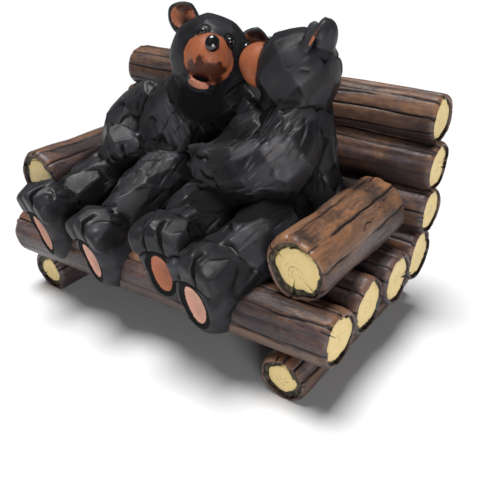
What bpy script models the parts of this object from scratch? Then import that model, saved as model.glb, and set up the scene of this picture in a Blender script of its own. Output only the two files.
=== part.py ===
"""Bear figurine: two bears cuddling on a bench of logs, cast in one piece.

Metres, +Z up. The bench runs along X, the bears face -Y, and the foot logs rest on Z = 0.
"""

import bpy
import numpy as np

# Bench, overall
BENCH_WIDTH = 0.1143
BACK_LEAN = 13.0

# Foot logs, which run front to back under the seat
FOOT_LOG_RADIUS = 0.0066
FOOT_LOG_LENGTH = 0.0600
FOOT_LOG_FLAT = 0.0009
FOOT_LOG_INSET = 0.01235
FOOT_LOG_PROUD = 0.0066

# Seat logs, which run from side to side
SEAT_LOG_COUNT = 4
SEAT_LOG_RADIUS = 0.0076
SEAT_LOG_OVERLAP = 0.0003
SEAT_FRONT_Y = -0.0228
FRONT_LOG_DROP = 0.0022
FRONT_LOG_TRIM = 0.0042
END_STEP = 0.0006

# Back logs, stacked on the last seat log
BACK_LOG_COUNT = 3
BACK_LOG_RADIUS = 0.0066
BACK_LOG_OVERLAP = 0.0013
TOP_LOG_TRIM = 0.0022

# Armrest logs, which lie on the seat logs
ARM_LOG_RADIUS = 0.0081
ARM_LOG_LENGTH = 0.0405
ARM_LOG_INSET = 0.01195
ARM_LOG_PROUD = 0.0015
ARM_LOG_SINK = 0.0008
ARM_LOG_LEFT_LIFT = 0.0004

# Cut ends of all logs
BARK_THICKNESS = 0.0010
RIM_FLAT_SHARE = 0.35
CUT_FACE_DEPTH = 0.0005
SHOULDER = 0.0012
GROOVE_COUNT = 3
GROOVE_SHARE = 0.045

# Lumps round a log: waves round it, height as a share of the radius, radians of twist along it
LUMP_WAVES = ((2, 0.030, 0.8), (3, 0.026, -1.1), (5, 0.018, 2.0))
# Slight waist and swelling: place along the log and share of the radius there
WAIST = (0.35, 0.97)
SWELLING = (0.70, 1.01)

# Webs, the cast walls that close the valleys between the logs
WEB_THICKNESS = 0.0040
WEB_INSET = 0.0060

# Bears: the height from the seat to the crown is 52 units in every form below
BEAR_SITTING_HEIGHT = 0.0503
BEAR_SETBACK = 0.0253
LEFT_BEAR_X = -0.0216
RIGHT_BEAR_X = 0.0226
UNITS_PER_HEIGHT = 52.0

# Faceting of the carved surface
CLAY_VOXEL = 0.0006
SOFTENING = 10
BEAR_TRIANGLES = 2490
LOG_SIDES = 14

# Fineness of the clay forms before they are fused
FORM_SIDES = 20
BALL_RINGS = 12
TUBE_STEPS = 5
END_ROUNDING = (20, 45, 70)
PATH_SMOOTHING = 4

# Forms of a head: place and half sizes, each (side, back, up) in head radii
SKULL = (0, 0, 0), (0.98, 1.0, 1.0)
MUZZLE = (0, -0.80, -0.10), (0.50, 0.52, 0.52)
JAW = (0, -0.78, -0.40), (0.36, 0.36, 0.26)
BROW = (0, -0.55, 0.35), (0.62, 0.45, 0.42)
NOSE = (0, -1.30, 0.05), (0.17, 0.12, 0.19)
EYE = (0.32, -0.90, 0.36), (0.09, 0.09, 0.09)
EAR_SIZE = 0.39, 0.23, 0.39
EAR_ROOT_SIZE = 0.30, 0.20, 0.30
EAR_ROOT_PLACE = 0.72, 0.90, 0.70
EAR_DISH_SIZE = 0.29, 0.22, 0.29
EAR_DISH_FORWARD = 0.25

# Feet, in units and as shares of a foot's half width or half height
SOLE_DEPTH = 5.6
# A broad press flattens the sole: its place, spread and half depth
SOLE_CUT = 6.1, 1.6, 1.4
FOOT_LEAN = 10.0
BALL_OF_FOOT = 0.16, 1.00, 0.74
HEEL = -0.40, 0.86, 0.60
TOE_SPACING = 0.60
TOE_RISE = 0.66
OUTER_TOE_DROP = 0.12
TOE_SIZE = 0.37, 0.34
PAD_FORWARD = 5.5
PAD_DROP = 0.10
PAD_SIZE = 0.56, 1.7, 0.58

# Claws, as shares of the paw's radius
CLAW_COUNT = 4
CLAW_SPACING = 0.36
CLAW_ROOT = 0.55
CLAW_LENGTH = 0.75
CLAW_RADII = 0.24, 0.13

FOOT_LOG_TOP = 2 * FOOT_LOG_RADIUS - FOOT_LOG_FLAT
SEAT_Z = FOOT_LOG_TOP + SEAT_LOG_RADIUS - SEAT_LOG_OVERLAP
SEAT_PITCH = 2 * SEAT_LOG_RADIUS - SEAT_LOG_OVERLAP
SEAT_TOP = SEAT_Z + SEAT_LOG_RADIUS
FOOT_LOG_X = BENCH_WIDTH / 2 - FOOT_LOG_INSET
ARM_LOG_X = BENCH_WIDTH / 2 - ARM_LOG_INSET
SEAT_BACK_Y = SEAT_FRONT_Y + (SEAT_LOG_COUNT - 1) * SEAT_PITCH
FOOT_FRONT_Y = SEAT_FRONT_Y - FOOT_LOG_PROUD


def clear_scene():
    for obj in list(bpy.data.objects):
        bpy.data.objects.remove(obj, do_unlink=True)


def principled(name, colour, roughness):
    material = bpy.data.materials.new(name)
    material.use_nodes = True
    shader = material.node_tree.nodes["Principled BSDF"]
    shader.inputs["Base Color"].default_value = (*colour, 1.0)
    shader.inputs["Roughness"].default_value = roughness
    shader.inputs["Metallic"].default_value = 0.0
    material.diffuse_color = (*colour, 1.0)
    return material


def add_object(name, vertices, faces, material):
    mesh = bpy.data.meshes.new(name)
    mesh.from_pydata([tuple(v) for v in vertices], [], [tuple(f) for f in faces])
    mesh.update()
    mesh.materials.append(material)
    obj = bpy.data.objects.new(name, mesh)
    bpy.context.scene.collection.objects.link(obj)
    return obj


def skin_of_rings(rings, first_pole, last_pole):
    """Closes a stack of rings, each an array of points, with a fan to a pole at both ends."""
    count, sides = len(rings), len(rings[0])
    vertices = np.vstack([np.reshape(rings, (-1, 3)), [first_pole, last_pole]])
    faces = []
    for i in range(count - 1):
        for j in range(sides):
            k = (j + 1) % sides
            low, high = i * sides, (i + 1) * sides
            faces.append((low + j, low + k, high + k, high + j))
    start, end = count * sides, count * sides + 1
    last = (count - 1) * sides
    for j in range(sides):
        k = (j + 1) % sides
        faces.append((start, k, j))
        faces.append((end, last + j, last + k))
    return vertices, faces


def cut_log(name, start, end, radius, seed, material, floor=None):
    """A log between two points: lumpy bark, worn shoulders and a cut face sunk in each end."""
    rng = np.random.default_rng(seed)
    start, end = np.array(start), np.array(end)
    length = np.linalg.norm(end - start)
    axis = (end - start) / length
    up = np.array([0.0, 0.0, 1.0])
    side = np.cross(up, axis)
    side /= np.linalg.norm(side)
    up = np.cross(axis, side)
    angle = np.linspace(0, 2 * np.pi, LOG_SIDES, endpoint=False)
    phase = rng.uniform(0, 2 * np.pi, len(LUMP_WAVES))
    grooves = rng.choice(LOG_SIDES, GROOVE_COUNT, replace=False)
    # Station along the log, share of the radius there
    inner = 1 - BARK_THICKNESS / radius
    rim = inner + RIM_FLAT_SHARE * (1 - inner)
    stations = [
        (CUT_FACE_DEPTH, inner),
        (0.0, inner),
        (0.0, rim),
        (SHOULDER, 1.0),
        (WAIST[0] * length, WAIST[1]),
        (SWELLING[0] * length, SWELLING[1]),
        (length - SHOULDER, 1.0),
        (length, rim),
        (length, inner),
        (length - CUT_FACE_DEPTH, inner),
    ]
    rings = []
    for along, share in stations:
        swing = along / length
        lumps = np.zeros(LOG_SIDES)
        for (waves, height, twist), shift in zip(LUMP_WAVES, phase):
            lumps += height * np.sin(waves * angle + shift + twist * swing)
        lumps[grooves] -= GROOVE_SHARE
        reach = radius * share * (1 + lumps)
        ring = start + axis * along
        ring = ring + np.outer(reach * np.cos(angle), side) + np.outer(reach * np.sin(angle), up)
        if floor is not None:
            ring[:, 2] = np.maximum(ring[:, 2], floor)
        rings.append(ring)
    poles = start + axis * CUT_FACE_DEPTH, end - axis * CUT_FACE_DEPTH
    vertices, faces = skin_of_rings(rings, *poles)
    return add_object(name, vertices, faces, material)


def tube(points, radii, flatness=1.0, across=(1, 0, 0)):
    """A round-ended limb through the points. Flatness is its depth as a share of its width."""
    points = np.array(points, float)
    radii = np.array(radii, float)
    steps = TUBE_STEPS * (len(points) - 1) + 1
    knots = np.arange(len(points))
    t = np.linspace(0, len(points) - 1, steps)
    path = np.stack([np.interp(t, knots, points[:, i]) for i in range(3)], 1)
    radius = np.interp(t, knots, radii)
    kernel = np.array([0.25, 0.5, 0.25])
    for _ in range(PATH_SMOOTHING):
        path[1:-1] = sum(w * path[i:i + steps - 2] for i, w in enumerate(kernel))
    tangent = np.gradient(path, axis=0)
    tangent /= np.linalg.norm(tangent, axis=1)[:, None]
    rounding = np.radians(END_ROUNDING)
    before = [(path[0] - tangent[0] * radius[0] * np.sin(a), tangent[0], radius[0] * np.cos(a))
              for a in rounding[::-1]]
    after = [(path[-1] + tangent[-1] * radius[-1] * np.sin(a), tangent[-1], radius[-1] * np.cos(a))
             for a in rounding]
    angle = np.linspace(0, 2 * np.pi, FORM_SIDES, endpoint=False)
    across = np.array(across, float)
    rings = []
    for centre, direction, reach in [*before, *zip(path, tangent, radius), *after]:
        wide = across - direction * (across @ direction)
        wide /= np.linalg.norm(wide)
        deep = np.cross(direction, wide)
        ring = np.outer(np.cos(angle), wide) + flatness * np.outer(np.sin(angle), deep)
        rings.append(centre + reach * ring)
    poles = path[0] - tangent[0] * radius[0], path[-1] + tangent[-1] * radius[-1]
    return skin_of_rings(rings, *poles)


def ball(centre, axes, half_sizes, rings=BALL_RINGS, sides=FORM_SIDES):
    """An ellipsoid: its three half sizes lie along the rows of axes."""
    polar = np.linspace(0, np.pi, rings + 2)[1:-1]
    angle = np.linspace(0, 2 * np.pi, sides, endpoint=False)
    stretch = np.diag(half_sizes) @ np.array(axes, float)
    stack = []
    for p in polar:
        level = np.full(sides, -np.cos(p))
        ring = np.stack([np.sin(p) * np.cos(angle), np.sin(p) * np.sin(angle), level], 1)
        stack.append(ring @ stretch + centre)
    top = np.array([0, 0, 1.0]) @ stretch
    return skin_of_rings(stack, centre - top, centre + top)


def head_axes(turn, nod, tilt):
    """Rows: the head's left, its back and its up, for angles in degrees from facing -Y."""
    turn, nod, tilt = np.radians([turn, nod, tilt])
    forward = np.array([np.sin(turn) * np.cos(nod), -np.cos(turn) * np.cos(nod), np.sin(nod)])
    level_left = np.array([np.cos(turn), np.sin(turn), 0.0])
    level_up = np.cross(forward, level_left)
    left = np.cos(tilt) * level_left - np.sin(tilt) * level_up
    up = np.cos(tilt) * level_up + np.sin(tilt) * level_left
    return np.array([left, -forward, up])


class Figure:
    """The forms of one bear, gathered in units of its height about the point it sits on."""

    def __init__(self, seat_x, radius, head, axes):
        self.origin = np.array([seat_x, SEAT_FRONT_Y + BEAR_SETBACK, SEAT_TOP])
        self.unit = BEAR_SITTING_HEIGHT / UNITS_PER_HEIGHT
        self.radius = radius
        self.head = np.array(head, float)
        self.axes = axes
        self.clay = []
        self.crisp = []
        self.presses = []

    def on_head(self, left, back, up):
        """A point given in head radii from the middle of the head."""
        return self.head + self.radius * np.array([left, back, up]) @ self.axes

    def add(self, form, kind="clay"):
        vertices, faces = form
        getattr(self, kind).append((self.origin + self.unit * vertices, faces))

    def press(self, centre, axes, half_sizes, along):
        """Sinks the clay inside an ellipsoid down to its far side, along one of its axes."""
        centre = self.origin + self.unit * np.array(centre)
        self.presses.append((centre, np.array(axes), self.unit * np.array(half_sizes), along))


def add_head(figure, jaw_drop, ears, ear_turn, muzzle):
    """Ears: the left and the right one's place in head radii, to the side, back and up.

    Each ear turns inwards by ear_turn degrees. Muzzle is the muzzle's length as a share of the usual one.
    """
    r, axes = figure.radius, figure.axes
    longer = np.array([1, muzzle, 1])

    def form(place, sizes, own_axes=axes, **fineness):
        return ball(figure.on_head(*place), own_axes, r * np.array(sizes), **fineness)

    figure.add(form(*SKULL))
    figure.add(form(*BROW))
    figure.add(form(MUZZLE[0] * longer, MUZZLE[1] * longer))
    figure.add(form((JAW[0] - np.array([0, 0, jaw_drop])) * longer, JAW[1] * longer))
    figure.add(form(NOSE[0] * longer, NOSE[1], rings=6, sides=10), "crisp")
    for side, ear in zip((1, -1), ears):
        flip = np.array([side, 1, 1])
        figure.add(form(EYE[0] * flip, EYE[1], rings=5, sides=8), "crisp")
        turn = np.radians(ear_turn) * side
        back = np.cos(turn) * axes[1] + np.sin(turn) * axes[0]
        ear_axes = np.array([np.cos(turn) * axes[0] - np.sin(turn) * axes[1], back, axes[2]])
        figure.add(form(flip * ear, EAR_SIZE, ear_axes))
        figure.add(form(flip * ear * EAR_ROOT_PLACE, EAR_ROOT_SIZE, ear_axes))
        dish = figure.on_head(*(flip * ear)) - EAR_DISH_FORWARD * r * back
        figure.press(dish, ear_axes, r * np.array(EAR_DISH_SIZE), 1)


def add_foot(figure, centre, ankle, half_width, half_height, yaw):
    """An upright foot: egg-shaped sole to the front with a sunk pad, three toes along its top."""
    yaw, lean = np.radians([yaw, FOOT_LEAN])
    left = np.array([np.cos(yaw), np.sin(yaw), 0.0])
    level_back = np.array([-np.sin(yaw), np.cos(yaw), 0.0])
    up = np.cos(lean) * np.array([0.0, 0.0, 1.0]) - np.sin(lean) * level_back
    back = np.cross(up, left)
    axes = [left, back, up]
    centre = np.array(centre, float)
    figure.add(tube([ankle, centre + 2.0 * back], [1.02 * half_width, 0.98 * half_width]))
    for rise, width, height in (BALL_OF_FOOT, HEEL):
        sizes = width * half_width, SOLE_DEPTH, height * half_height
        figure.add(ball(centre + rise * half_height * up, axes, sizes))
    toe_sizes = TOE_SIZE[0] * half_width, SOLE_DEPTH, TOE_SIZE[1] * half_height
    for toe in (-1, 0, 1):
        across = TOE_SPACING * half_width * toe * left
        rise = (TOE_RISE - OUTER_TOE_DROP * abs(toe)) * half_height * up
        figure.add(ball(centre + across + rise + 0.3 * back, axes, toe_sizes))
    cut_place, cut_spread, cut_depth = SOLE_CUT
    cut_size = cut_spread * half_width, cut_depth, cut_spread * half_height
    figure.press(centre - cut_place * back, axes, cut_size, 1)
    pad = centre - PAD_FORWARD * back - PAD_DROP * half_height * up
    width, depth, height = PAD_SIZE
    figure.press(pad, axes, (width * half_width, depth, height * half_height), 1)


def add_paw(figure, palm, reach, across, radius):
    """Claws that leave the palm along reach, side by side."""
    reach, across = np.array(reach, float), np.array(across, float)
    reach /= np.linalg.norm(reach)
    across -= reach * (across @ reach)
    across /= np.linalg.norm(across)
    for i in range(CLAW_COUNT):
        aside = CLAW_SPACING * radius * (i - (CLAW_COUNT - 1) / 2) * across
        root = np.array(palm) + aside + CLAW_ROOT * radius * reach
        tip = root + CLAW_LENGTH * radius * reach
        figure.add(tube([root, tip], radius * np.array(CLAW_RADII)))


def left_bear():
    """The bear that faces the front and turns its muzzle up to the other one."""
    figure = Figure(LEFT_BEAR_X, 11.4, (18.2, 6.8, 41.3), head_axes(42, 22, 21))
    add_head(figure, 0.30, ((0.91, 0.27, 0.74), (0.91, 0.27, 0.74)), 0, 1.0)
    torso = [(-1, 5, 8), (2, 4.5, 16), (7.5, 5, 24), (13, 6, 32)]
    figure.add(tube(torso, [14.0, 13.5, 11.8, 8.8], 0.86))
    figure.add(ball(np.array([1.5, -1.5, 12]), np.eye(3), (12, 9, 10)))
    arm = [(-5, 4, 27), (-11.8, 0, 21), (-9.5, -6, 17.5), (-4.5, -10, 15.5)]
    figure.add(tube(arm, [6.2, 6.8, 6.2, 5.8]))
    add_paw(figure, (-4.5, -10, 15.5), (-0.15, -0.6, -0.8), (0.9, 0.1, 0.4), 5.4)
    figure.add(tube([(19, 7, 28), (26, 9, 31), (33, 10.5, 28)], [7.0, 6.0, 5.2]))
    figure.add(tube([(-7, -1, 8.5), (-9.8, -14, 8), (-11.3, -26, 3.5)], [8.6, 7.4, 7.2]))
    add_foot(figure, (-11.8, -34.0, -0.2), (-11.3, -27, 2), 7.6, 13.0, -6)
    figure.add(tube([(8, -4, 8), (9.5, -16, 7.5), (10.0, -26, 2)], [9.8, 8.4, 7.6]))
    add_foot(figure, (9.4, -34.3, -2.4), (10.0, -27, 0), 7.8, 12.6, -6)
    return figure


def right_bear():
    """The bear that turns to the left one, an arm laid over its belly."""
    figure = Figure(RIGHT_BEAR_X, 10.7, (2.2, 6.2, 41.3), head_axes(-85, 11, -46))
    add_head(figure, 0.0, ((0.70, 0.50, 0.72), (0.62, 0.46, 0.64)), 12, 1.18)
    torso = [(1, 4, 8), (1, 4, 17), (2, 5, 26), (1.8, 6, 35)]
    figure.add(tube(torso, [15.0, 13.8, 11.6, 9.5], 0.90))
    figure.add(ball(np.array([9.0, 3.0, 7.5]), np.eye(3), (11, 11, 9)))
    figure.add(ball(np.array([-6.0, -1.0, 24]), np.eye(3), (9.5, 8.0, 8.5)))
    figure.add(ball(np.array([-9.5, -4.0, 21.5]), np.eye(3), (8.0, 7.0, 7.0)))
    arm = [(5, 1, 30), (7.5, -8, 22.5), (-3, -12, 19.5), (-11.5, -11.5, 19.2)]
    figure.add(tube(arm, [8.0, 8.2, 7.8, 7.2]))
    add_paw(figure, (-12, -11.5, 19.3), (-0.95, -0.1, 0.1), (0, 0, 1), 6.8)
    figure.add(ball(np.array([-10.5, 1.5, 32.0]), np.eye(3), (3.0, 3.0, 3.0)))
    figure.add(tube([(5, -4, 8), (8, -17, 7.5), (3.6, -26, 2)], [9.6, 8.8, 8.6]))
    add_foot(figure, (1.4, -34.2, -2.4), (3.2, -27, 1), 9.2, 13.4, -2)
    figure.add(tube([(-8, -4, 7), (-10.5, -17, 8), (-10.9, -26, 4.5)], [9.6, 8.4, 7.6]))
    figure.add(ball(np.array([-21.0, -6.0, 4.0]), np.eye(3), (10, 15, 7.5)))
    add_foot(figure, (-11.0, -33.6, 2.4), (-10.9, -27, 5), 8.0, 13.0, 14)
    return figure


def joined(name, forms, material):
    vertices, faces, start = [], [], 0
    for points, polygons in forms:
        vertices.append(points)
        faces += [tuple(start + i for i in polygon) for polygon in polygons]
        start += len(points)
    return add_object(name, np.vstack(vertices), faces, material)


def keep_evaluated(obj):
    """Replaces the object's mesh by the one that its modifiers give."""
    graph = bpy.context.evaluated_depsgraph_get()
    mesh = bpy.data.meshes.new_from_object(obj.evaluated_get(graph), depsgraph=graph)
    obj.modifiers.clear()
    obj.data = mesh


def sink_presses(obj, presses):
    """Each press is an ellipsoid, and along is the axis that clay moves on to its far side."""
    points = np.empty(len(obj.data.vertices) * 3)
    obj.data.vertices.foreach_get("co", points)
    points = points.reshape(-1, 3)
    for centre, axes, half_sizes, along in presses:
        local = (points - centre) @ axes.T / half_sizes
        inside = (local ** 2).sum(1) < 1
        others = 1 - (local[inside] ** 2).sum(1) + local[inside, along] ** 2
        local[inside, along] = np.sqrt(others)
        points[inside] = (local[inside] * half_sizes) @ axes + centre
    obj.data.vertices.foreach_set("co", points.ravel())
    obj.data.update()


def hide(obj):
    obj.hide_render = True
    obj.display_type = "WIRE"


def carve_bear(name, figure, material):
    """Fuses the clay forms, presses the hollows, facets the skin, then adds eyes and nose."""
    bear = joined(name, figure.clay, material)
    fuse = bear.modifiers.new("fuse", "REMESH")
    fuse.mode = "VOXEL"
    fuse.voxel_size = CLAY_VOXEL
    soften = bear.modifiers.new("soften", "SMOOTH")
    soften.iterations = SOFTENING
    keep_evaluated(bear)
    sink_presses(bear, figure.presses)
    triangles = sum(len(p.vertices) - 2 for p in bear.data.polygons)
    facet = bear.modifiers.new("facet", "DECIMATE")
    facet.ratio = BEAR_TRIANGLES / triangles
    keep_evaluated(bear)
    crisp = joined(name + "_eyes_and_nose", figure.crisp, material)
    hide(crisp)
    add = bear.modifiers.new("eyes_and_nose", "BOOLEAN")
    add.object = crisp
    add.operation = "UNION"
    add.solver = "EXACT"
    add.use_self = True
    keep_evaluated(bear)
    return bear


def web(name, start, end, material):
    """A wall along the bench between two log centres, each given as (y, z)."""
    along = (end - start) / np.linalg.norm(end - start)
    out = WEB_THICKNESS / 2 * np.array([-along[1], along[0]])
    reach = BENCH_WIDTH / 2 - WEB_INSET
    corners = [start - out, end - out, end + out, start + out]
    vertices = [(x, *corner) for x in (-reach, reach) for corner in corners]
    faces = [(3, 2, 1, 0), (4, 5, 6, 7)]
    faces += [(i, (i + 1) % 4, (i + 1) % 4 + 4, i + 4) for i in range(4)]
    return add_object(name, vertices, faces, material)


def bench_logs(bark):
    """All logs of the bench, each a little different."""
    half = BENCH_WIDTH / 2
    logs = []
    foot_y = FOOT_FRONT_Y, FOOT_FRONT_Y + FOOT_LOG_LENGTH
    for side in (-1, 1):
        x, z = side * FOOT_LOG_X, FOOT_LOG_RADIUS - FOOT_LOG_FLAT
        name = "foot_log_left" if side < 0 else "foot_log_right"
        ends = (x, foot_y[0], z), (x, foot_y[1], z)
        logs.append(cut_log(name, *ends, FOOT_LOG_RADIUS, 10 + side, bark, floor=0.0))
    for i in range(SEAT_LOG_COUNT):
        y = SEAT_FRONT_Y + i * SEAT_PITCH
        drop = FRONT_LOG_DROP if i == 0 else 0.0
        trim = FRONT_LOG_TRIM if i == 0 else 0.0
        reach = half - END_STEP * (i % 2)
        ends = (trim - reach, y - drop, SEAT_Z - drop), (reach, y, SEAT_Z)
        logs.append(cut_log(f"seat_log_{i + 1}", *ends, SEAT_LOG_RADIUS, 20 + i, bark))
    seat_front, seat_back = np.array([SEAT_FRONT_Y, SEAT_Z]), np.array([SEAT_BACK_Y, SEAT_Z])
    logs.append(web("seat_web", seat_front, seat_back, bark))
    lean = np.radians(BACK_LEAN)
    rise = 2 * BACK_LOG_RADIUS - BACK_LOG_OVERLAP
    for i in range(BACK_LOG_COUNT):
        out = SEAT_LOG_RADIUS - BACK_LOG_RADIUS + (i + 1) * rise
        y, z = SEAT_BACK_Y + out * np.sin(lean), SEAT_Z + out * np.cos(lean)
        trim = TOP_LOG_TRIM if i == BACK_LOG_COUNT - 1 else 0.0
        reach = half - END_STEP * (i % 2) - trim
        ends = (-reach, y, z), (reach, y, z)
        logs.append(cut_log(f"back_log_{i + 1}", *ends, BACK_LOG_RADIUS, 30 + i, bark))
    logs.append(web("back_web", seat_back, np.array([y, z]), bark))
    arm_z = SEAT_TOP + ARM_LOG_RADIUS - ARM_LOG_SINK
    for side in (-1, 1):
        name = "arm_log_left" if side < 0 else "arm_log_right"
        x, front = side * ARM_LOG_X, SEAT_FRONT_Y - ARM_LOG_PROUD
        lift = ARM_LOG_LEFT_LIFT if side < 0 else 0.0
        ends = (x, front, arm_z + lift), (x, front + ARM_LOG_LENGTH, arm_z)
        logs.append(cut_log(name, *ends, ARM_LOG_RADIUS, 40 + side, bark))
    return logs


def main():
    clear_scene()
    bark = principled("bark_brown", (0.20, 0.11, 0.06), 0.55)
    fur = principled("fur_charcoal", (0.035, 0.038, 0.042), 0.45)
    logs = bench_logs(bark)
    bears = [carve_bear("left_bear", left_bear(), fur), carve_bear("right_bear", right_bear(), fur)]
    cast = logs[0]
    cast.name = "bear_figurine"
    cast.data.materials.append(fur)
    pieces = bpy.data.collections.new("pieces")
    bpy.context.scene.collection.children.link(pieces)
    for piece in logs[1:] + bears:
        pieces.objects.link(piece)
        hide(piece)
    fuse = cast.modifiers.new("cast", "BOOLEAN")
    fuse.operation = "UNION"
    fuse.operand_type = "COLLECTION"
    fuse.collection = pieces
    fuse.solver = "EXACT"


main()
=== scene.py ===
import math

import bpy
import numpy as np
from mathutils import Matrix


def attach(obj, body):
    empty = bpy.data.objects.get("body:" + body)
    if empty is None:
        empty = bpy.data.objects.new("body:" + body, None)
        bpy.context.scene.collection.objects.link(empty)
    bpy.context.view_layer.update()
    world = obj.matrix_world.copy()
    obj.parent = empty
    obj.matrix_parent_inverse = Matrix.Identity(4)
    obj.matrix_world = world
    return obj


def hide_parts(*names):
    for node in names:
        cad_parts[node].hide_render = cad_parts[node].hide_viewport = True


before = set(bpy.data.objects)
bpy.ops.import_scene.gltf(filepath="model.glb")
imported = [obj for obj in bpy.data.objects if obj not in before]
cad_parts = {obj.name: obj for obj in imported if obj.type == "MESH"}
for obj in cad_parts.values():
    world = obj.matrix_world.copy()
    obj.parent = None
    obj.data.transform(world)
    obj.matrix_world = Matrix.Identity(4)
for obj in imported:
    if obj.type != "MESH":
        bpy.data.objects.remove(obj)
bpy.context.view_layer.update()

mm = 0.001
circle = 2 * np.pi
upward = np.array([0.0, 0.0, 1.0])

# The bench's own sizes, in metres, as the solid has them
bench = {
    "width": 0.1143,
    "backLean": 13.0,
    "footRadius": 0.0066,
    "footLength": 0.0600,
    "footFlat": 0.0009,  # sawn off below, so that the bench stands
    "footInset": 0.01235,
    "footProud": 0.0066,
    "seatCount": 4,
    "seatRadius": 0.0076,
    "seatOverlap": 0.0003,
    "seatFrontY": -0.0228,
    "frontLogDrop": 0.0022,
    "frontLogTrim": 0.0042,
    "endStep": 0.0006,
    "backCount": 3,
    "backRadius": 0.0066,
    "backOverlap": 0.0013,
    "topLogTrim": 0.0022,
    "armRadius": 0.0081,
    "armLength": 0.0405,
    "armInset": 0.01195,
    "armProud": 0.0015,
    "armSink": 0.0008,
    "armLeftLift": 0.0004,
    "webInset": 0.0060,
    "webThickness": 0.0040,
}
footLogTop = 2 * bench["footRadius"] - bench["footFlat"]
seatZ = footLogTop + bench["seatRadius"] - bench["seatOverlap"]
seatPitch = 2 * bench["seatRadius"] - bench["seatOverlap"]
seatTop = seatZ + bench["seatRadius"]
seatBackY = bench["seatFrontY"] + (bench["seatCount"] - 1) * seatPitch


# Mesh helpers
def gridFaces(rows, columns):  # quads of a grid that closes round its columns
    i, j = np.meshgrid(np.arange(rows - 1), np.arange(columns), indexing="ij")
    here, beside = i * columns + j, i * columns + (j + 1) % columns
    return np.stack([here, beside, beside + columns, here + columns], -1).reshape(-1, 4)


def closedSkin(grid, firstPole, lastPole):  # a grid of rings with a fan to a pole at both ends
    rows, columns = grid.shape[:2]
    points = np.vstack([grid.reshape(-1, 3), [firstPole, lastPole]])
    j = np.arange(columns)
    k = (j + 1) % columns
    last = (rows - 1) * columns
    first = np.full(columns, rows * columns)
    fans = np.vstack([np.stack([first, k, j], 1), np.stack([first + 1, last + j, last + k], 1)])
    return points, gridFaces(rows, columns), fans


def addPiece(name, mesh, slot=None):  # a piece with a slot is part of the casting
    piece = bpy.data.objects.new(name, mesh)
    bpy.context.scene.collection.objects.link(piece)
    if slot:
        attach(piece, "root")
    return piece


def buildMesh(name, points, polygons, material, slot=None):
    mesh = bpy.data.meshes.new(name)
    sizes = np.concatenate([np.full(len(p), p.shape[1]) for p in polygons])
    corners = np.concatenate([p.ravel() for p in polygons])
    mesh.vertices.add(len(points))
    mesh.vertices.foreach_set("co", np.asarray(points, np.float32).ravel())
    mesh.loops.add(len(corners))
    mesh.loops.foreach_set("vertex_index", corners.astype(np.int32))
    mesh.polygons.add(len(sizes))
    starts = np.concatenate([[0], np.cumsum(sizes)[:-1]])
    mesh.polygons.foreach_set("loop_start", starts.astype(np.int32))
    mesh.update(calc_edges=True)
    mesh.validate()
    mesh.shade_smooth()
    mesh.materials.append(material)
    return addPiece(name, mesh, slot)


def paintPoints(piece, **fields):  # stores values at the points, for the materials
    for name, values in fields.items():
        values = np.asarray(values, np.float32)
        kind = "FLOAT" if values.ndim == 1 else "FLOAT_VECTOR"
        field = piece.data.attributes.new(name, kind, "POINT")
        field.data.foreach_set("value" if values.ndim == 1 else "vector", values.ravel())


def unit(vector):
    return vector / np.linalg.norm(vector, axis=-1, keepdims=True)


def wrapped(angle):  # the same angle, within half a turn either way
    return (angle + np.pi) % circle - np.pi


def softNoise(u, v, cellsRound, cellsAlong, rng):  # values at lattice corners, eased between; wraps round u
    table = rng.uniform(-1, 1, (cellsRound, cellsAlong + 2))
    u, v = u * cellsRound, v * cellsAlong
    i, j = np.floor(u).astype(int), np.floor(v).astype(int)
    s, t = u - i, v - j
    s, t = s * s * (3 - 2 * s), t * t * (3 - 2 * t)
    low, high = i % cellsRound, (i + 1) % cellsRound
    near, far = np.clip(j, 0, cellsAlong + 1), np.clip(j + 1, 0, cellsAlong + 1)
    first = table[low, near] * (1 - s) + table[high, near] * s
    second = table[low, far] * (1 - s) + table[high, far] * s
    return first * (1 - t) + second * t


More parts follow.
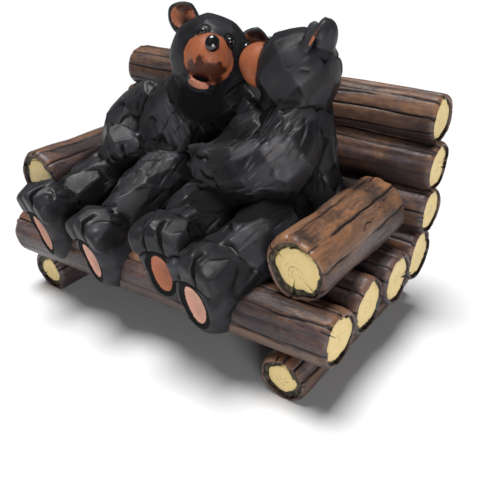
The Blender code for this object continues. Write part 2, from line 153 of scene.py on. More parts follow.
class Paint:
    # Short ways to add nodes to a tree; an input may be a number, a colour or another node's output
    def __init__(self, tree):
        self.tree = tree

    def node(self, kind, inputs, output=0, **settings):
        node = self.tree.nodes.new("ShaderNode" + kind)
        for name, value in settings.items():
            setattr(node, name, value)
        for label, value in inputs.items():
            socket = node.inputs[label]
            if isinstance(value, bpy.types.NodeSocket):
                self.tree.links.new(value, socket)
            else:
                socket.default_value = (*value, 1.0) if socket.type == "RGBA" else value
        return node.outputs[output]

    def math(self, operation, *values):
        return self.node("Math", dict(enumerate(values)), operation=operation)

    def mix(self, share, first, second, mode="MIX"):
        return self.node("Mix", {0: share, 6: first, 7: second}, 2, data_type="RGBA", blend_type=mode)

    def spread(self, value, low, high, toLow=0.0, toHigh=1.0):
        return self.node("MapRange", dict(enumerate((value, low, high, toLow, toHigh))), clamp=True)

    def noise(self, place, scale, detail=4.0, roughness=0.55, distortion=0.0):
        return self.node("TexNoise", {"Vector": place, "Scale": scale, "Detail": detail,
                                      "Roughness": roughness, "Distortion": distortion})

    def blotch(self, place, scale, low, high, detail=4.0):  # noise between two values
        return self.spread(self.noise(place, scale, detail), 0.3, 0.7, low, high)

    def read(self, name, output="Fac"):  # a value stored at the points
        return self.node("Attribute", {}, output, attribute_name=name)

    def moved(self, place, **change):  # moves or stretches a pattern
        return self.node("Mapping", {"Vector": place, **change})

    def layer(self, under, name, low, high, most, colour):  # laid on where a stored value nears high
        return self.mix(self.spread(self.read(name), low, high, 0.0, most), under, colour)

    def effect(self, group, **inputs):  # returns all of a group's outputs
        inputs = {label.replace("_", " "): value for label, value in inputs.items()}
        return self.node("Group", inputs, node_tree=group).node.outputs

    def finish(self, colour, roughness, height, bump):  # bump: strength and distance
        shader = self.tree.nodes["Principled BSDF"]
        bumped = self.node("Bump", {"Strength": bump[0], "Distance": bump[1], "Height": height})
        for label, value in (("Base Color", colour), ("Roughness", roughness), ("Normal", bumped)):
            self.tree.links.new(value, shader.inputs[label])


# Shader groups that several paints share
def newGroup(name, inputs, outputs):
    group = bpy.data.node_groups.new(name, "ShaderNodeTree")
    for label, value in inputs.items():
        kind = value if isinstance(value, str) else "Float"
        socket = group.interface.new_socket(label, in_out="INPUT", socket_type="NodeSocket" + kind)
        if kind == "Float":
            socket.default_value = value
    for label, kind in outputs.items():
        group.interface.new_socket(label, in_out="OUTPUT", socket_type="NodeSocket" + kind)
    given, made = group.nodes.new("NodeGroupInput"), group.nodes.new("NodeGroupOutput")
    return Paint(group), given.outputs, made.inputs


def drybrushGroup():  # dark wash in hollows, pale rub on edges, both broken by noise
    paint, given, made = newGroup(
        "drybrush", {"Color": "Color", "Wash": "Color", "Rub": "Color", "Vector": "Vector", "Hollow": 0.0,
                     "Scale": 400.0, "Wash Amount": 0.8, "Rub Amount": 0.4}, {"Color": "Color"})
    depth = paint.math("ADD", given["Hollow"], paint.blotch(given["Vector"], given["Scale"], -0.25, 0.25))
    dark = paint.math("MULTIPLY", paint.spread(depth, 0.10, 0.75), given["Wash Amount"])
    light = paint.math("MULTIPLY", paint.spread(depth, -0.15, -0.85), given["Rub Amount"])
    washed = paint.mix(dark, given["Color"], given["Wash"])
    paint.tree.links.new(paint.mix(light, washed, given["Rub"]), made["Color"])
    return paint.tree


def castGrainGroup():  # fine pits and brush marks of the painted casting
    paint, given, made = newGroup("castGrain", {"Vector": "Vector", "Scale": 900.0, "Low": 0.4, "High": 0.6},
                                  {"Height": "Float", "Roughness": "Float"})
    fine = paint.noise(given["Vector"], given["Scale"], 5.0, 0.6)
    broad = paint.noise(given["Vector"], paint.math("MULTIPLY", given["Scale"], 0.16), 3.0, 0.5)
    gap = paint.math("SUBTRACT", given["High"], given["Low"])
    sheen = paint.math("MULTIPLY_ADD", paint.spread(broad, 0.35, 0.65), gap, given["Low"])
    paint.tree.links.new(paint.math("MULTIPLY_ADD", broad, 1.5, fine), made["Height"])
    paint.tree.links.new(sheen, made["Roughness"])
    return paint.tree


drybrush = drybrushGroup()
castGrain = castGrainGroup()


def startMaterial(name, coat, coatRoughness, specular):  # returns the place in object coordinates too
    material = bpy.data.materials.new(name)
    material.use_nodes = True
    paint = Paint(material.node_tree)
    sockets = paint.tree.nodes["Principled BSDF"].inputs
    sockets["Coat Weight"].default_value = coat
    sockets["Coat Roughness"].default_value = coatRoughness
    sockets["Specular IOR Level"].default_value = specular
    return material, paint, paint.node("TexCoord", {}, "Object")


# Paints, in linear colour; the finish is coat, its roughness and the specular level
furPaint = {
    "base": (0.0115, 0.0120, 0.0145),
    "warm": (0.0170, 0.0155, 0.0165),
    # wash: for fine hollows and dark scratches, and for the painted shade
    "wash": (0.0020, 0.0020, 0.0022),
    # rub: pale on edges, and the painted highlight on broad high spots
    "rubAndHighlight": (0.070, 0.071, 0.080),
    "hair": (0.130, 0.130, 0.145),
    "muzzle": (0.350, 0.108, 0.048),
    "pad": (0.600, 0.300, 0.215),
    # brownWash: brown paint round the mouth, and the painted shade in the ear dishes
    "brownWash": (0.048, 0.013, 0.007),
    "ink": (0.003, 0.003, 0.003),
    "finish": (0.0, 0.35, 0.22),
    "patchScale": 160.0,
    "grain": {"Scale": 1500.0, "Low": 0.36, "High": 0.52},
    "drybrush": {"Scale": 420.0, "Wash_Amount": 0.9, "Rub_Amount": 0.10},
    "facetGlow": (0.45, 4.80),  # brightness of the dullest cut and of the brightest painted highlight
    "ragged": 0.03,  # how uneven the edge of the tan paint is
    "bump": (0.30, 0.00012),
}


def furMaterial():
    material, paint, place = startMaterial("charcoalFur", *furPaint["finish"])
    patch = paint.noise(place, furPaint["patchScale"], 5.0, 0.6)
    base = paint.mix(paint.spread(patch, 0.4, 0.65), furPaint["base"], furPaint["warm"])
    # Each cut has a random tone, and the painted highlights raise it further
    facet = paint.spread(paint.read("facet"), 0.0, 3.0, *furPaint["facetGlow"])
    base = paint.mix(1.0, base, facet, "MULTIPLY")
    # The hollow field carries the broad recesses too: painted shade in them and a painted highlight on high
    # spots
    base = paint.effect(drybrush, Color=base, Wash=furPaint["wash"], Rub=furPaint["rubAndHighlight"], Vector=place,
                        Hollow=paint.read("hollow"), **furPaint["drybrush"])["Color"]
    base = paint.layer(base, "stroke", 0.1, 1.0, 0.75, furPaint["hair"])
    base = paint.layer(base, "stroke", 0.0, -1.0, 0.9, furPaint["wash"])
    # Tan paint: the field is 1 in the middle of a patch and 0.5 at its edge
    ragged = paint.blotch(place, 900.0, -0.5, 0.5)
    tan = paint.math("MULTIPLY_ADD", ragged, furPaint["ragged"], paint.read("tan"))
    skin = paint.mix(paint.read("tone"), furPaint["muzzle"], furPaint["pad"])
    skin = paint.mix(1.0, skin, paint.blotch(place, 260.0, 0.85, 1.12, 3.0), "MULTIPLY")
    washed = paint.math("ADD", paint.read("wash"), paint.blotch(place, 480.0, -0.22, 0.22, 3.0))
    skin = paint.mix(paint.spread(washed, 0.40, 0.56, 0.0, 0.96), skin, furPaint["brownWash"])
    base = paint.mix(paint.spread(tan, 0.49, 0.51), base, skin)
    # Painted shade in broad recesses and in the painted shadows
    base = paint.layer(base, "recess", 0.10, 0.75, 0.95, furPaint["wash"])
    base = paint.layer(base, "ink", 0.35, 0.65, 1.0, furPaint["ink"])
    grain = paint.effect(castGrain, Vector=place, **furPaint["grain"])
    # Black paint and painted shade are dull
    shaded = paint.math("MAXIMUM", paint.read("ink"), paint.read("recess"))
    roughness = paint.math("MAXIMUM", grain["Roughness"], paint.spread(shaded, 0.1, 0.7, 0.0, 0.9))
    paint.finish(base, roughness, grain["Height"], furPaint["bump"])
    return material


barkPaint = {
    "dark": (0.030, 0.021, 0.022),
    "violet": (0.068, 0.050, 0.056),
    "brown": (0.150, 0.078, 0.047),
    # orange: worn spots and ends, and the painted highlight on the tops
    "orange": (0.330, 0.150, 0.068),
    "crack": (0.005, 0.003, 0.003),
    # pale: the painted highlight rim round the spots on top, and the rub on ridges
    "pale": (0.300, 0.190, 0.125),
    "finish": (0.06, 0.30, 0.34),
    "grain": {"Scale": 1400.0, "Low": 0.30, "High": 0.50},
    "patternStep": (0.31, 0.17, 0.0),  # each log reads the patterns this much further on
    "streakStretch": (1.0, 1.0, 0.35),
    "spotEdge": 0.47,
    "bump": (0.5, 0.00025),
}


def barkMaterial(name, seed, warmth):
    material, paint, place = startMaterial(name, *barkPaint["finish"])
    further = np.multiply(barkPaint["patternStep"], seed)
    along = paint.moved(paint.read("barkPlace", "Vector"), Location=further)
    streak = paint.noise(paint.moved(along, Scale=barkPaint["streakStretch"]), 620.0, 6.0, 0.7, 0.4)
    patch = paint.noise(along, 190.0, 4.0, 0.6, 0.6)
    leaning = paint.math("MULTIPLY_ADD", paint.read("plank"), 0.20, patch)
    leaning = paint.math("ADD", leaning, 0.26 * (warmth - 0.5) - 0.10)
    base = paint.mix(paint.spread(leaning, 0.44, 0.56), barkPaint["violet"], barkPaint["brown"])
    base = paint.mix(paint.spread(streak, 0.50, 0.68, 0.0, 0.65), base, barkPaint["dark"])
    # Painted shade darkens the undersides; painted highlight lights the tops: warm worn spots and ends with a
    # pale rim, shown on top only
    base = paint.layer(base, "topside", 0.6, -0.5, 0.8, barkPaint["dark"])
    topside = paint.spread(paint.read("topside"), 0.0, 0.9, 0.12, 1.0)
    spot = paint.noise(along, 330.0, 5.0, 0.62, 0.3)
    wearAndHighlight = paint.math("MULTIPLY", paint.spread(spot, 0.41, 0.56), paint.spread(streak, 0.62, 0.42))
    wearAndHighlight = paint.math("MULTIPLY", wearAndHighlight, 0.10 + 0.95 * warmth)
    worn = paint.math("MULTIPLY", paint.read("worn"), 0.25 + 0.8 * warmth)
    wearAndHighlight = paint.math("MULTIPLY", paint.math("MAXIMUM", wearAndHighlight, worn), topside)
    base = paint.mix(paint.math("MULTIPLY", wearAndHighlight, 0.8), base, barkPaint["orange"])
    fromRim = paint.math("ABSOLUTE", paint.math("SUBTRACT", spot, barkPaint["spotEdge"]))
    rim = paint.math("MULTIPLY", paint.spread(fromRim, 0.0, 0.016, 0.5, 0.0), topside)
    base = paint.mix(rim, base, barkPaint["pale"])
    base = paint.effect(drybrush, Color=base, Wash=barkPaint["dark"], Rub=barkPaint["pale"], Vector=place,
                        Hollow=paint.read("hollow"), Scale=600.0, Wash_Amount=0.85,
                        Rub_Amount=0.12 + 0.25 * warmth)["Color"]
    base = paint.layer(base, "crack", 0.22, 0.7, 1.0, barkPaint["crack"])
    grain = paint.effect(castGrain, Vector=along, **barkPaint["grain"])
    height = paint.math("MULTIPLY_ADD", streak, 1.5, grain["Height"])
    paint.finish(base, grain["Roughness"], height, barkPaint["bump"])
    return material


woodPaint = {
    "cream": (0.780, 0.600, 0.265),
    "ring": (0.520, 0.380, 0.140),
    "innerBarkAndShade": (0.010, 0.007, 0.006),
    "crack": (0.012, 0.008, 0.006),
    "finish": (0.1, 0.4, 0.4),
    "grain": {"Scale": 1200.0, "Low": 0.42, "High": 0.62},
    "drybrush": {"Scale": 700.0, "Wash_Amount": 0.6, "Rub_Amount": 0.3},
    "bump": (0.35, 0.00015),
}


def cutWoodMaterial():
    material, paint, place = startMaterial("creamCutWood", *woodPaint["finish"])
    base = paint.layer(woodPaint["cream"], "ring", 0.35, 1.0, 0.16, woodPaint["ring"])
    # The worn field is 1 where the ragged dark rim begins: inner bark, and painted shade in the moat round the
    # cream
    rim = paint.math("ADD", paint.read("worn"), paint.blotch(place, 330.0, -0.10, 0.10))
    base = paint.mix(paint.spread(rim, 0.62, 1.0, 0.0, 0.35), base, woodPaint["ring"])
    base = paint.mix(paint.spread(rim, 0.98, 1.03), base, woodPaint["innerBarkAndShade"])
    base = paint.effect(drybrush, Color=base, Wash=woodPaint["innerBarkAndShade"], Rub=woodPaint["cream"], Vector=place,
                        Hollow=paint.read("hollow"), **woodPaint["drybrush"])["Color"]
    base = paint.layer(base, "crack", 0.35, 0.7, 1.0, woodPaint["crack"])
    grain = paint.effect(castGrain, Vector=place, **woodPaint["grain"])
    paint.finish(base, grain["Roughness"], grain["Height"], woodPaint["bump"])
    return material


glossPaint = {
    "colour": (0.004, 0.004, 0.005),
    "sheen": (0.020, 0.020, 0.024),
    "finish": (0.4, 0.08, 0.5),
    "grain": {"Scale": 1800.0, "Low": 0.12, "High": 0.22},
    "bump": (0.08, 0.00005),
}


def glossMaterial():
    material, paint, place = startMaterial("glossBlack", *glossPaint["finish"])
    tone = paint.mix(paint.spread(paint.noise(place, 700.0), 0.4, 0.7), glossPaint["colour"],
                     glossPaint["sheen"])
    grain = paint.effect(castGrain, Vector=place, **glossPaint["grain"])
    paint.finish(tone, grain["Roughness"], grain["Height"], glossPaint["bump"])
    return material


fur = furMaterial()
cutWood = cutWoodMaterial()
gloss = glossMaterial()
print("paints ready")


# Logs of the bench
bark = {
    "sidesRound": 156,
    "step": 0.0009,  # length of one grid cell along a log
    "fewestRows": 24,
    "solidSides": 14,  # the solid's log has this many flats
    "grooveCount": 3,
    "grooveShare": 0.045,
    "grooveWidth": 0.20,  # radians
    "lumpWaves": ((2, 0.030, 0.8), (3, 0.026, -1.1), (5, 0.018, 2.0)),
    "thickness": 0.0010,
    "cutDepth": 0.0005,
    "shoulder": 0.0014,
    "bevel": (0.45, 0.72),  # at this share of the shoulder, the edge has risen this much
    "girths": ((0.35, 0.97), (0.70, 1.01)),  # places along a log, shares of its radius there
    "rimFlatShare": 0.35,
    "planks": (8, 12),  # bark is carved as planks: fewest, one over the most
    "plankStep": 0.17 * mm,
    "plankEdge": 0.5 * mm,
    "jointSway": 0.07,  # radians
    "jointWidth": 0.24 * mm,
    "jointDepth": 0.42 * mm,
    "plates": ((11, 0.012, 0.09 * mm), (31, 0.005, 0.04 * mm)),  # cells round, cell length, depth
    "crackCount": 7,
    "crackLength": (0.10, 0.35),  # as a share of the log
    "crackWidth": 0.22 * mm,
    "crackDepth": 0.25 * mm,
    "mostRelief": 0.16 * mm,
    "hollowDepth": 0.22 * mm,  # as deep as this takes the full wash
    "faceRows": 18,
    "ringGap": 0.0011,
    "ringDepth": 0.035 * mm,
    "pithShare": 0.18,  # how far the rings' middle is from the log's
    "splitCount": 5,
    "splitWidth": 0.24 * mm,
    "splitDepth": 0.45 * mm,
    "nick": (0.28 * mm, 0.4 * mm, 3.6 * mm),  # where a split leaves the face: width, depth, length
    "wornLength": 2.2 * mm,
    "ragged": 0.35,  # how uneven the bark's inner edge is, as a share of the bark
    "creamCorners": ((5, 0.065), (9, 0.060), (19, 0.030)),  # corners round the cream face, height
    "creamLift": 0.04,  # the dark rim is thicker at the bottom
    "moatDepth": 0.40 * mm,
    "knotReach": 0.42,  # rings fade out beyond this share of the face
    "stretch": 0.38,  # bark patterns are this much slower along the log
}
angles = np.arange(bark["sidesRound"]) * circle / bark["sidesRound"]
# Rings of a cut face, from its edge inwards: share of the radius, share of the depth
faceShare = np.concatenate([[1.0, 0.985, 0.965], np.linspace(0.945, 0.74, 12),
                            np.linspace(0.70, 0.04, bark["faceRows"])])[:, None]
faceStep = np.concatenate([[0.0, 0.75, 1.0], np.ones(12 + bark["faceRows"])])[:, None]


def lumpsOf(around, swing, rng):  # broad waves round a log, and a few long grooves
    phase = rng.uniform(0, circle, len(bark["lumpWaves"]))
    grooves = rng.choice(bark["solidSides"], bark["grooveCount"], replace=False)
    lumps = sum(height * np.sin(waves * around + shift + twist * swing)
                for (waves, height, twist), shift in zip(bark["lumpWaves"], phase))
    for groove in grooves:
        apart = np.abs(wrapped(around - groove * circle / bark["solidSides"]))
        lumps = lumps - bark["grooveShare"] * np.clip(1 - apart / bark["grooveWidth"], 0, 1)
    return lumps


def carvePlanks(around, swing, radius, nearEnd, rng):
    # The joints wander along the log, and each plank stands a little higher or lower
    count = rng.integers(*bark["planks"])
    joints = (np.arange(count) + rng.uniform(-0.3, 0.3, count)) * circle / count
    sway = rng.normal(0, bark["jointSway"], (count, 1))
    waves, shift = rng.uniform(2, 5, (count, 1)), rng.uniform(0, 6, (count, 1))
    t = swing[:, 0][None]
    joints = joints[:, None] + sway * np.sin(waves * t + shift) + 0.016 * np.sin(31 * t + 3 * shift)
    past = (around[None] - joints[:, :, None]) % circle
    plank, ahead = past.argmin(0), past.argmax(0)
    fromLast, toNext = past.min(0) * radius, (circle - past.max(0)) * radius
    nearest = np.minimum(fromLast, toNext)
    joint = np.where(fromLast < toNext, plank, ahead)
    gaping = np.clip(0.72 + 0.85 * softNoise(joint / count, swing, count, 6, rng), 0.05, 1)
    crack = gaping * np.exp(-(nearest / bark["jointWidth"]) ** 2)
    relief = bark["plankStep"] * softNoise(plank / count, swing, count, 5, rng)
    relief *= np.clip(nearest / bark["plankEdge"], 0, 1) * nearEnd
    relief -= (bark["jointDepth"] - bark["crackDepth"]) * crack
    return relief, crack, rng.uniform(0, 1, count)[plank]


def shortCracks(around, swing, radius, rng):  # each thins out to both ends
    crack = np.zeros_like(around)
    for _ in range(bark["crackCount"]):
        at, begin, span = rng.uniform(0, circle), rng.uniform(0, 0.85), rng.uniform(*bark["crackLength"])
        part = np.clip((swing - begin) / span, 0, 1)
        wander = 0.12 * rng.normal() * part + 0.05 * np.sin(rng.uniform(5, 11) * part + rng.uniform(0, 6))
        thin = np.sin(np.pi * part) ** 0.5
        width = bark["crackWidth"] * rng.uniform(0.6, 1.3) * (0.25 + thin)
        trough = np.exp(-(wrapped(around - at - wander) * radius / width) ** 2)
        crack = np.maximum(crack, trough * np.clip(3 * thin, 0, 1))
    return crack


def endNicks(around, fromEnd, radius, splits):  # the face's splits run a short way up the bark
    width, _, length = bark["nick"]
    nick = np.zeros_like(around)
    for at, reach in splits:
        fading = np.clip(1 - fromEnd / (length * reach + 0.4 * mm), 0, 1)
        nick = np.maximum(nick, np.exp(-(wrapped(around - at) * radius / width) ** 2) * fading)
    return nick


def cutFace(radius, rim, lumps, pith, splits, cream, rng):
    # Rings round an off-centre pith, splits from the rim inwards, a ragged inner edge of bark
    def roundNoise(cells):
        return softNoise(angles / circle, np.full(len(angles), 0.3), cells, 2, rng)

    edge = 1 - bark["thickness"] / radius * (1 + bark["ragged"] * roundNoise(22) + 0.5 * roundNoise(7))
    reach = faceShare * (radius * np.minimum(edge, rim) * (1 + lumps))
    spin, share = np.broadcast_arrays(angles, faceShare)
    flat = np.stack([reach * np.cos(spin), reach * np.sin(spin)], -1)
    away = np.linalg.norm(flat - pith * (1 - share[..., None] ** 2), axis=-1)
    wobble = 0.35 * mm * softNoise(spin / circle, share, 6, 3, rng)
    ring = 0.5 + 0.5 * np.sin(circle * (away + wobble) / bark["ringGap"] + spin)
    tooth = softNoise(spin / circle, share, 26, 7, rng)
    split = np.zeros_like(away)
    for at, reachIn in splits:
        width = bark["splitWidth"] * np.clip((share - 1 + reachIn) / reachIn, 0, 1) + 1e-6
        split = np.maximum(split, np.exp(-(wrapped(spin - at) * reach / width) ** 2) * (share > 1 - reachIn))
    corners = sum(height * roundNoise(cells) for cells, height in bark["creamCorners"])
    worn = share / (cream + corners + bark["creamLift"] * np.sin(angles))
    ring = ring * np.clip(1.6 - share / bark["knotReach"], 0.12, 1)
    sunk = bark["cutDepth"] + bark["ringDepth"] * (ring - 0.5 + 0.5 * tooth) + bark["splitDepth"] * split
    sunk = sunk * faceStep + bark["moatDepth"] * np.clip((worn - 0.98) / 0.05, 0, 1) * (faceStep > 0.5)
    edgeRing = (faceStep > 0.2) & (faceStep < 0.99)
    fields = {"hollow": np.clip((ring - 0.5) * 0.6, -1, 1), "crack": np.maximum(split, edgeRing * 1.0),
              "ring": ring, "worn": worn, "plank": np.full_like(ring, 0.5), "topside": np.zeros_like(ring)}
    return reach, sunk, fields


def logSurface(name, start, end, radius, seed, warmth, cream, floor=None):
    # Radius at (angle, along) = nominal share x (1 + lump waves) - fissures; the faces are sunk in the bark
    rng = np.random.default_rng(seed)
    start, end = np.array(start), np.array(end)
    length = np.linalg.norm(end - start)
    axis = (end - start) / length
    side = unit(np.cross(upward, axis))
    lift = np.cross(axis, side)
    rim = 1 - (1 - bark["rimFlatShare"]) * bark["thickness"] / radius
    bevelPlace, bevelShare = bark["bevel"]
    bevel = rim + bevelShare * (1 - rim)
    # Bark rows, from one end to the other, closer near the ends
    eased = np.linspace(0, 1, max(int(length / bark["step"]), bark["fewestRows"]))
    along = length * (eased - 0.045 * np.sin(2 * circle * eased))
    bend = np.array([0, bevelPlace, 1]) * bark["shoulder"]
    places, girths = np.transpose(bark["girths"])
    stations = [*bend, *(places * length), *(length - bend[::-1])]
    share = np.interp(along, stations, [rim, bevel, 1.0, *girths, 1.0, bevel, rim])
    around, down = np.meshgrid(angles, along)
    swing, fromEnd = down / length, np.minimum(down, length - down)
    lumps = lumpsOf(around, swing, rng)
    nearEnd = np.clip(fromEnd / (2 * bark["shoulder"]), 0.25, 1)
    relief, crack, plankTone = carvePlanks(around, swing, radius, nearEnd, rng)
    for cells, cellLength, depth in bark["plates"]:
        noise = softNoise(around / circle, swing, cells, max(2, round(length / cellLength)), rng)
        relief += depth * (1.6 * np.sqrt(np.abs(noise) + 0.002) - 1.1) * nearEnd
    crack = np.maximum(crack, shortCracks(around, swing, radius, rng))
    relief -= bark["crackDepth"] * crack
    splitAngles = rng.uniform(0, circle, (2, bark["splitCount"]))
    splits = np.stack([splitAngles, rng.uniform(0.25, 0.75, (2, bark["splitCount"]))], -1)
    nick = np.maximum(endNicks(around, down, radius, splits[0]),
                      endNicks(around, length - down, radius, splits[1]))
    relief -= bark["nick"][1] * nick
    reach = radius * share[:, None] * (1 + lumps) + np.minimum(relief, bark["mostRelief"])
    endWear = softNoise(around / circle, swing, 9, 8, rng)
    worn = np.clip(1 - fromEnd / (bark["wornLength"] * (1.2 + endWear)), 0, 1)
    worn = np.clip(worn * (0.7 + 0.6 * softNoise(around / circle, swing, 12, 10, rng)), 0, 1)
    # topside: how far the bark faces up, for the painted shade below and the painted highlight on top
    fields = {"hollow": np.clip(-relief / bark["hollowDepth"], -1, 1), "crack": np.maximum(crack, nick),
              "ring": np.zeros_like(relief), "worn": worn, "plank": plankTone,
              "topside": np.cos(around) * side[2] + np.sin(around) * lift[2]}

    def placed(middle, inward, reach):  # rings about the log's line, from how far in and how far out
        spin = np.cos(angles)[:, None] * side + np.sin(angles)[:, None] * lift
        grid = middle + inward + reach[..., None] * spin
        if floor is not None:
            grid[..., 2] = np.maximum(grid[..., 2], floor)
        return grid

    grids, poles, ends = [], [], []
    for i, (middle, inward) in enumerate(((start, axis), (end, -axis))):
        pith = bark["pithShare"] * radius * np.array([np.cos(7.0 * seed + i), np.sin(7.0 * seed + i)])
        faceReach, sunk, faceFields = cutFace(radius, rim, lumps[-i], pith, splits[i], cream, rng)
        grids.append(placed(middle, sunk[..., None] * inward, faceReach))
        poles.append(middle + bark["cutDepth"] * inward)
        ends.append(faceFields)
    grid = np.vstack([grids[0][::-1], placed(start, down[..., None] * axis, reach), grids[1]])
    points, quads, fans = closedSkin(grid, *poles)
    atPole = {"ring": 0.5, "plank": 0.5}
    for key, body in fields.items():
        rows = np.vstack([ends[0][key][::-1], body, ends[1][key]])
        fields[key] = np.append(rows, [atPole.get(key, 0.0)] * 2)
    flats = len(faceShare)
    barkPlace = np.stack([radius * np.cos(around), radius * np.sin(around), down * bark["stretch"]], -1)
    barkPlace = np.concatenate([barkPlace[:1].repeat(flats, 0), barkPlace, barkPlace[-1:].repeat(flats, 0)])
    barkPlace = np.vstack([barkPlace.reshape(-1, 3), np.zeros((2, 3))]) + 0.05 * (seed % 10)
    material = barkMaterial("bark_" + name, seed % 13, warmth)
    piece = buildMesh(name, points, [quads, fans], material, "bark_paint")
    piece.data.materials.append(cutWood)
    isCut = np.zeros(len(grid) - 1, bool)  # rows of quads that lie on a cut face
    isCut[:flats - 2] = True
    isCut[-(flats - 2):] = True
    slots = np.concatenate([np.repeat(isCut, len(angles)), np.ones(len(fans), bool)]).astype(np.int32)
    piece.data.polygons.foreach_set("material_index", slots)
    paintPoints(piece, barkPlace=barkPlace, **fields)


web = {
    "sidesRound": 48,
    "rows": 60,
    "squareness": 0.25,
    "wave": 0.06,
    "warmth": 0.2,
    # A full wash and some crack darken the webs: painted shade in the valleys between logs
    "fields": {"hollow": 0.9, "crack": 0.3, "worn": 0.0, "plank": 0.5, "topside": 0.0},
}


def webSurface(name, start, end):
    # A wall between log centres: rounded box section carried along the bench, lightly waved
    rng = np.random.default_rng(len(name))
    start, end = np.array(start), np.array(end)
    away = unit(end - start)
    out = np.array([-away[1], away[0]])
    half = np.linalg.norm(end - start) / 2
    reach = bench["width"] / 2 - bench["webInset"]
    turn = np.linspace(0, circle, web["sidesRound"], endpoint=False)
    wide, thick = (np.sign(wave) * np.abs(wave) ** web["squareness"] for wave in (np.cos(turn), np.sin(turn)))
    section = half * wide[:, None] * away + bench["webThickness"] / 2 * thick[:, None] * out
    around, x = np.meshgrid(turn, np.linspace(-reach, reach, web["rows"]))
    wave = 1 - web["wave"] * (1 + softNoise(around / circle, (x + reach) / (2 * reach), 12, 30, rng))
    middle = (start + end) / 2
    grid = np.concatenate([x[..., None], middle + section * wave[..., None]], -1)
    points, quads, fans = closedSkin(grid, [-reach, *middle], [reach, *middle])
    material = barkMaterial("bark_" + name, 5, web["warmth"])
    piece = buildMesh(name, points, [quads, fans], material, "bark_paint")
    fields = {key: np.full(len(points), value) for key, value in web["fields"].items()}
    paintPoints(piece, barkPlace=points * [bark["stretch"], 1, 1], **fields)


# For each kind of log: warmth of its bark, from the first log to the last, and reach of its cream face
logLooks = {
    "foot": ((0.1, 0.5), 0.70),
    "seat": ((0.45, 0.15, 0.15, 0.15), 0.87),
    "back": ((0.35, 0.53, 0.71), 0.87),
    "arm": ((0.2, 0.95), 0.77),
}


def addLog(kind, i, label, ends, radius, seed, floor=None):
    warmth, cream = logLooks[kind]
    logSurface(f"{kind}_log_{label}", *ends, radius, seed, warmth[i], cream, floor)


half = bench["width"] / 2
sides = ((-1, "left"), (1, "right"))
footFrontY = bench["seatFrontY"] - bench["footProud"]
for i, (sideSign, label) in enumerate(sides):
    x = sideSign * (half - bench["footInset"])
    z = bench["footRadius"] - bench["footFlat"]
    ends = (x, footFrontY, z), (x, footFrontY + bench["footLength"], z)
    addLog("foot", i, label, ends, bench["footRadius"], 10 + sideSign, floor=0.0)
for i in range(bench["seatCount"]):
    y = bench["seatFrontY"] + i * seatPitch
    drop = bench["frontLogDrop"] if i == 0 else 0.0
    trim = bench["frontLogTrim"] if i == 0 else 0.0
    reach = half - bench["endStep"] * (i % 2)
    ends = (trim - reach, y - drop, seatZ - drop), (reach, y, seatZ)
    addLog("seat", i, i + 1, ends, bench["seatRadius"], 20 + i)
webSurface("seat_web", (bench["seatFrontY"], seatZ), (seatBackY, seatZ))
lean = math.radians(bench["backLean"])
rise = 2 * bench["backRadius"] - bench["backOverlap"]
for i in range(bench["backCount"]):
    out = bench["seatRadius"] - bench["backRadius"] + (i + 1) * rise
    y, z = seatBackY + out * math.sin(lean), seatZ + out * math.cos(lean)
    trim = bench["topLogTrim"] if i == bench["backCount"] - 1 else 0.0
    reach = half - bench["endStep"] * (i % 2) - trim
    addLog("back", i, i + 1, ((-reach, y, z), (reach, y, z)), bench["backRadius"], 30 + i)
webSurface("back_web", (seatBackY, seatZ), (y, z))
armZ = seatTop + bench["armRadius"] - bench["armSink"]
for i, (sideSign, label) in enumerate(sides):
    x, front = sideSign * (half - bench["armInset"]), bench["seatFrontY"] - bench["armProud"]
    liftUp = bench["armLeftLift"] if sideSign < 0 else 0.0
    ends = (x, front, armZ + liftUp), (x, front + bench["armLength"], armZ)
    addLog("arm", i, label, ends, bench["armRadius"], 40 + sideSign)
print("bench logs done")


# Bears: forms in units of 52 to the sitting height, about the point each bear sits on
clay = {
    "sittingHeight": 0.0503,
    "unitsPerHeight": 52.0,
    "setback": 0.0253,
    "voxel": 0.00039,
    "softening": 7,
    "facetGap": 4.6 * mm,
    "facetBlend": 0.6 * mm,
    "facetTurnWeight": 3.4 * mm,
    "facetUneven": (0.8, 0.5, (310.0, 190.0, 260.0)),  # least share of the gap, what waves add, waves a metre
    "facetsMixed": 4,
    "mostFacets": 1200,
    "mostCut": 0.6 * mm,
    "facetShare": 0.85,
    "furLine": (0.33, 0.24, 0.25),  # engraved line: width and depth in units, ink
    "clawLine": (0.55, -0.40, 0.0),
    "clawSlit": (0.50, 0.80, 1.0),
    "lineReach": 4 * mm,
    "scratchDepth": 0.07 * mm,
    "scratchWidth": 0.30 * mm,
    "hairWidth": 0.20 * mm,
    "scratchSpread": 0.12,
    "hairShare": 0.5,  # this share of the scratches is pale and shallow
    "hollowReach": 12,
    "hollowDepth": 0.10 * mm,
    "recessReach": 130,  # rounds of smoothing that tell broad recesses from high spots
    "recessDepth": 1.1 * mm,
}
formUnit = clay["sittingHeight"] / clay["unitsPerHeight"]
formAngles = np.linspace(0, circle, 40, endpoint=False)
capAngles = np.radians([12, 25, 40, 55, 72])  # rings of a limb's round end


def headAxes(turn, nod, tilt):  # rows: the head's left, its back and its up
    turn, nod, tilt = np.radians([turn, nod, tilt])
    forward = np.array([np.sin(turn) * np.cos(nod), -np.cos(turn) * np.cos(nod), np.sin(nod)])
    levelLeft = np.array([np.cos(turn), np.sin(turn), 0.0])
    levelUp = np.cross(forward, levelLeft)
    left = np.cos(tilt) * levelLeft - np.sin(tilt) * levelUp
    return np.array([left, -forward, np.cos(tilt) * levelUp + np.sin(tilt) * levelLeft])


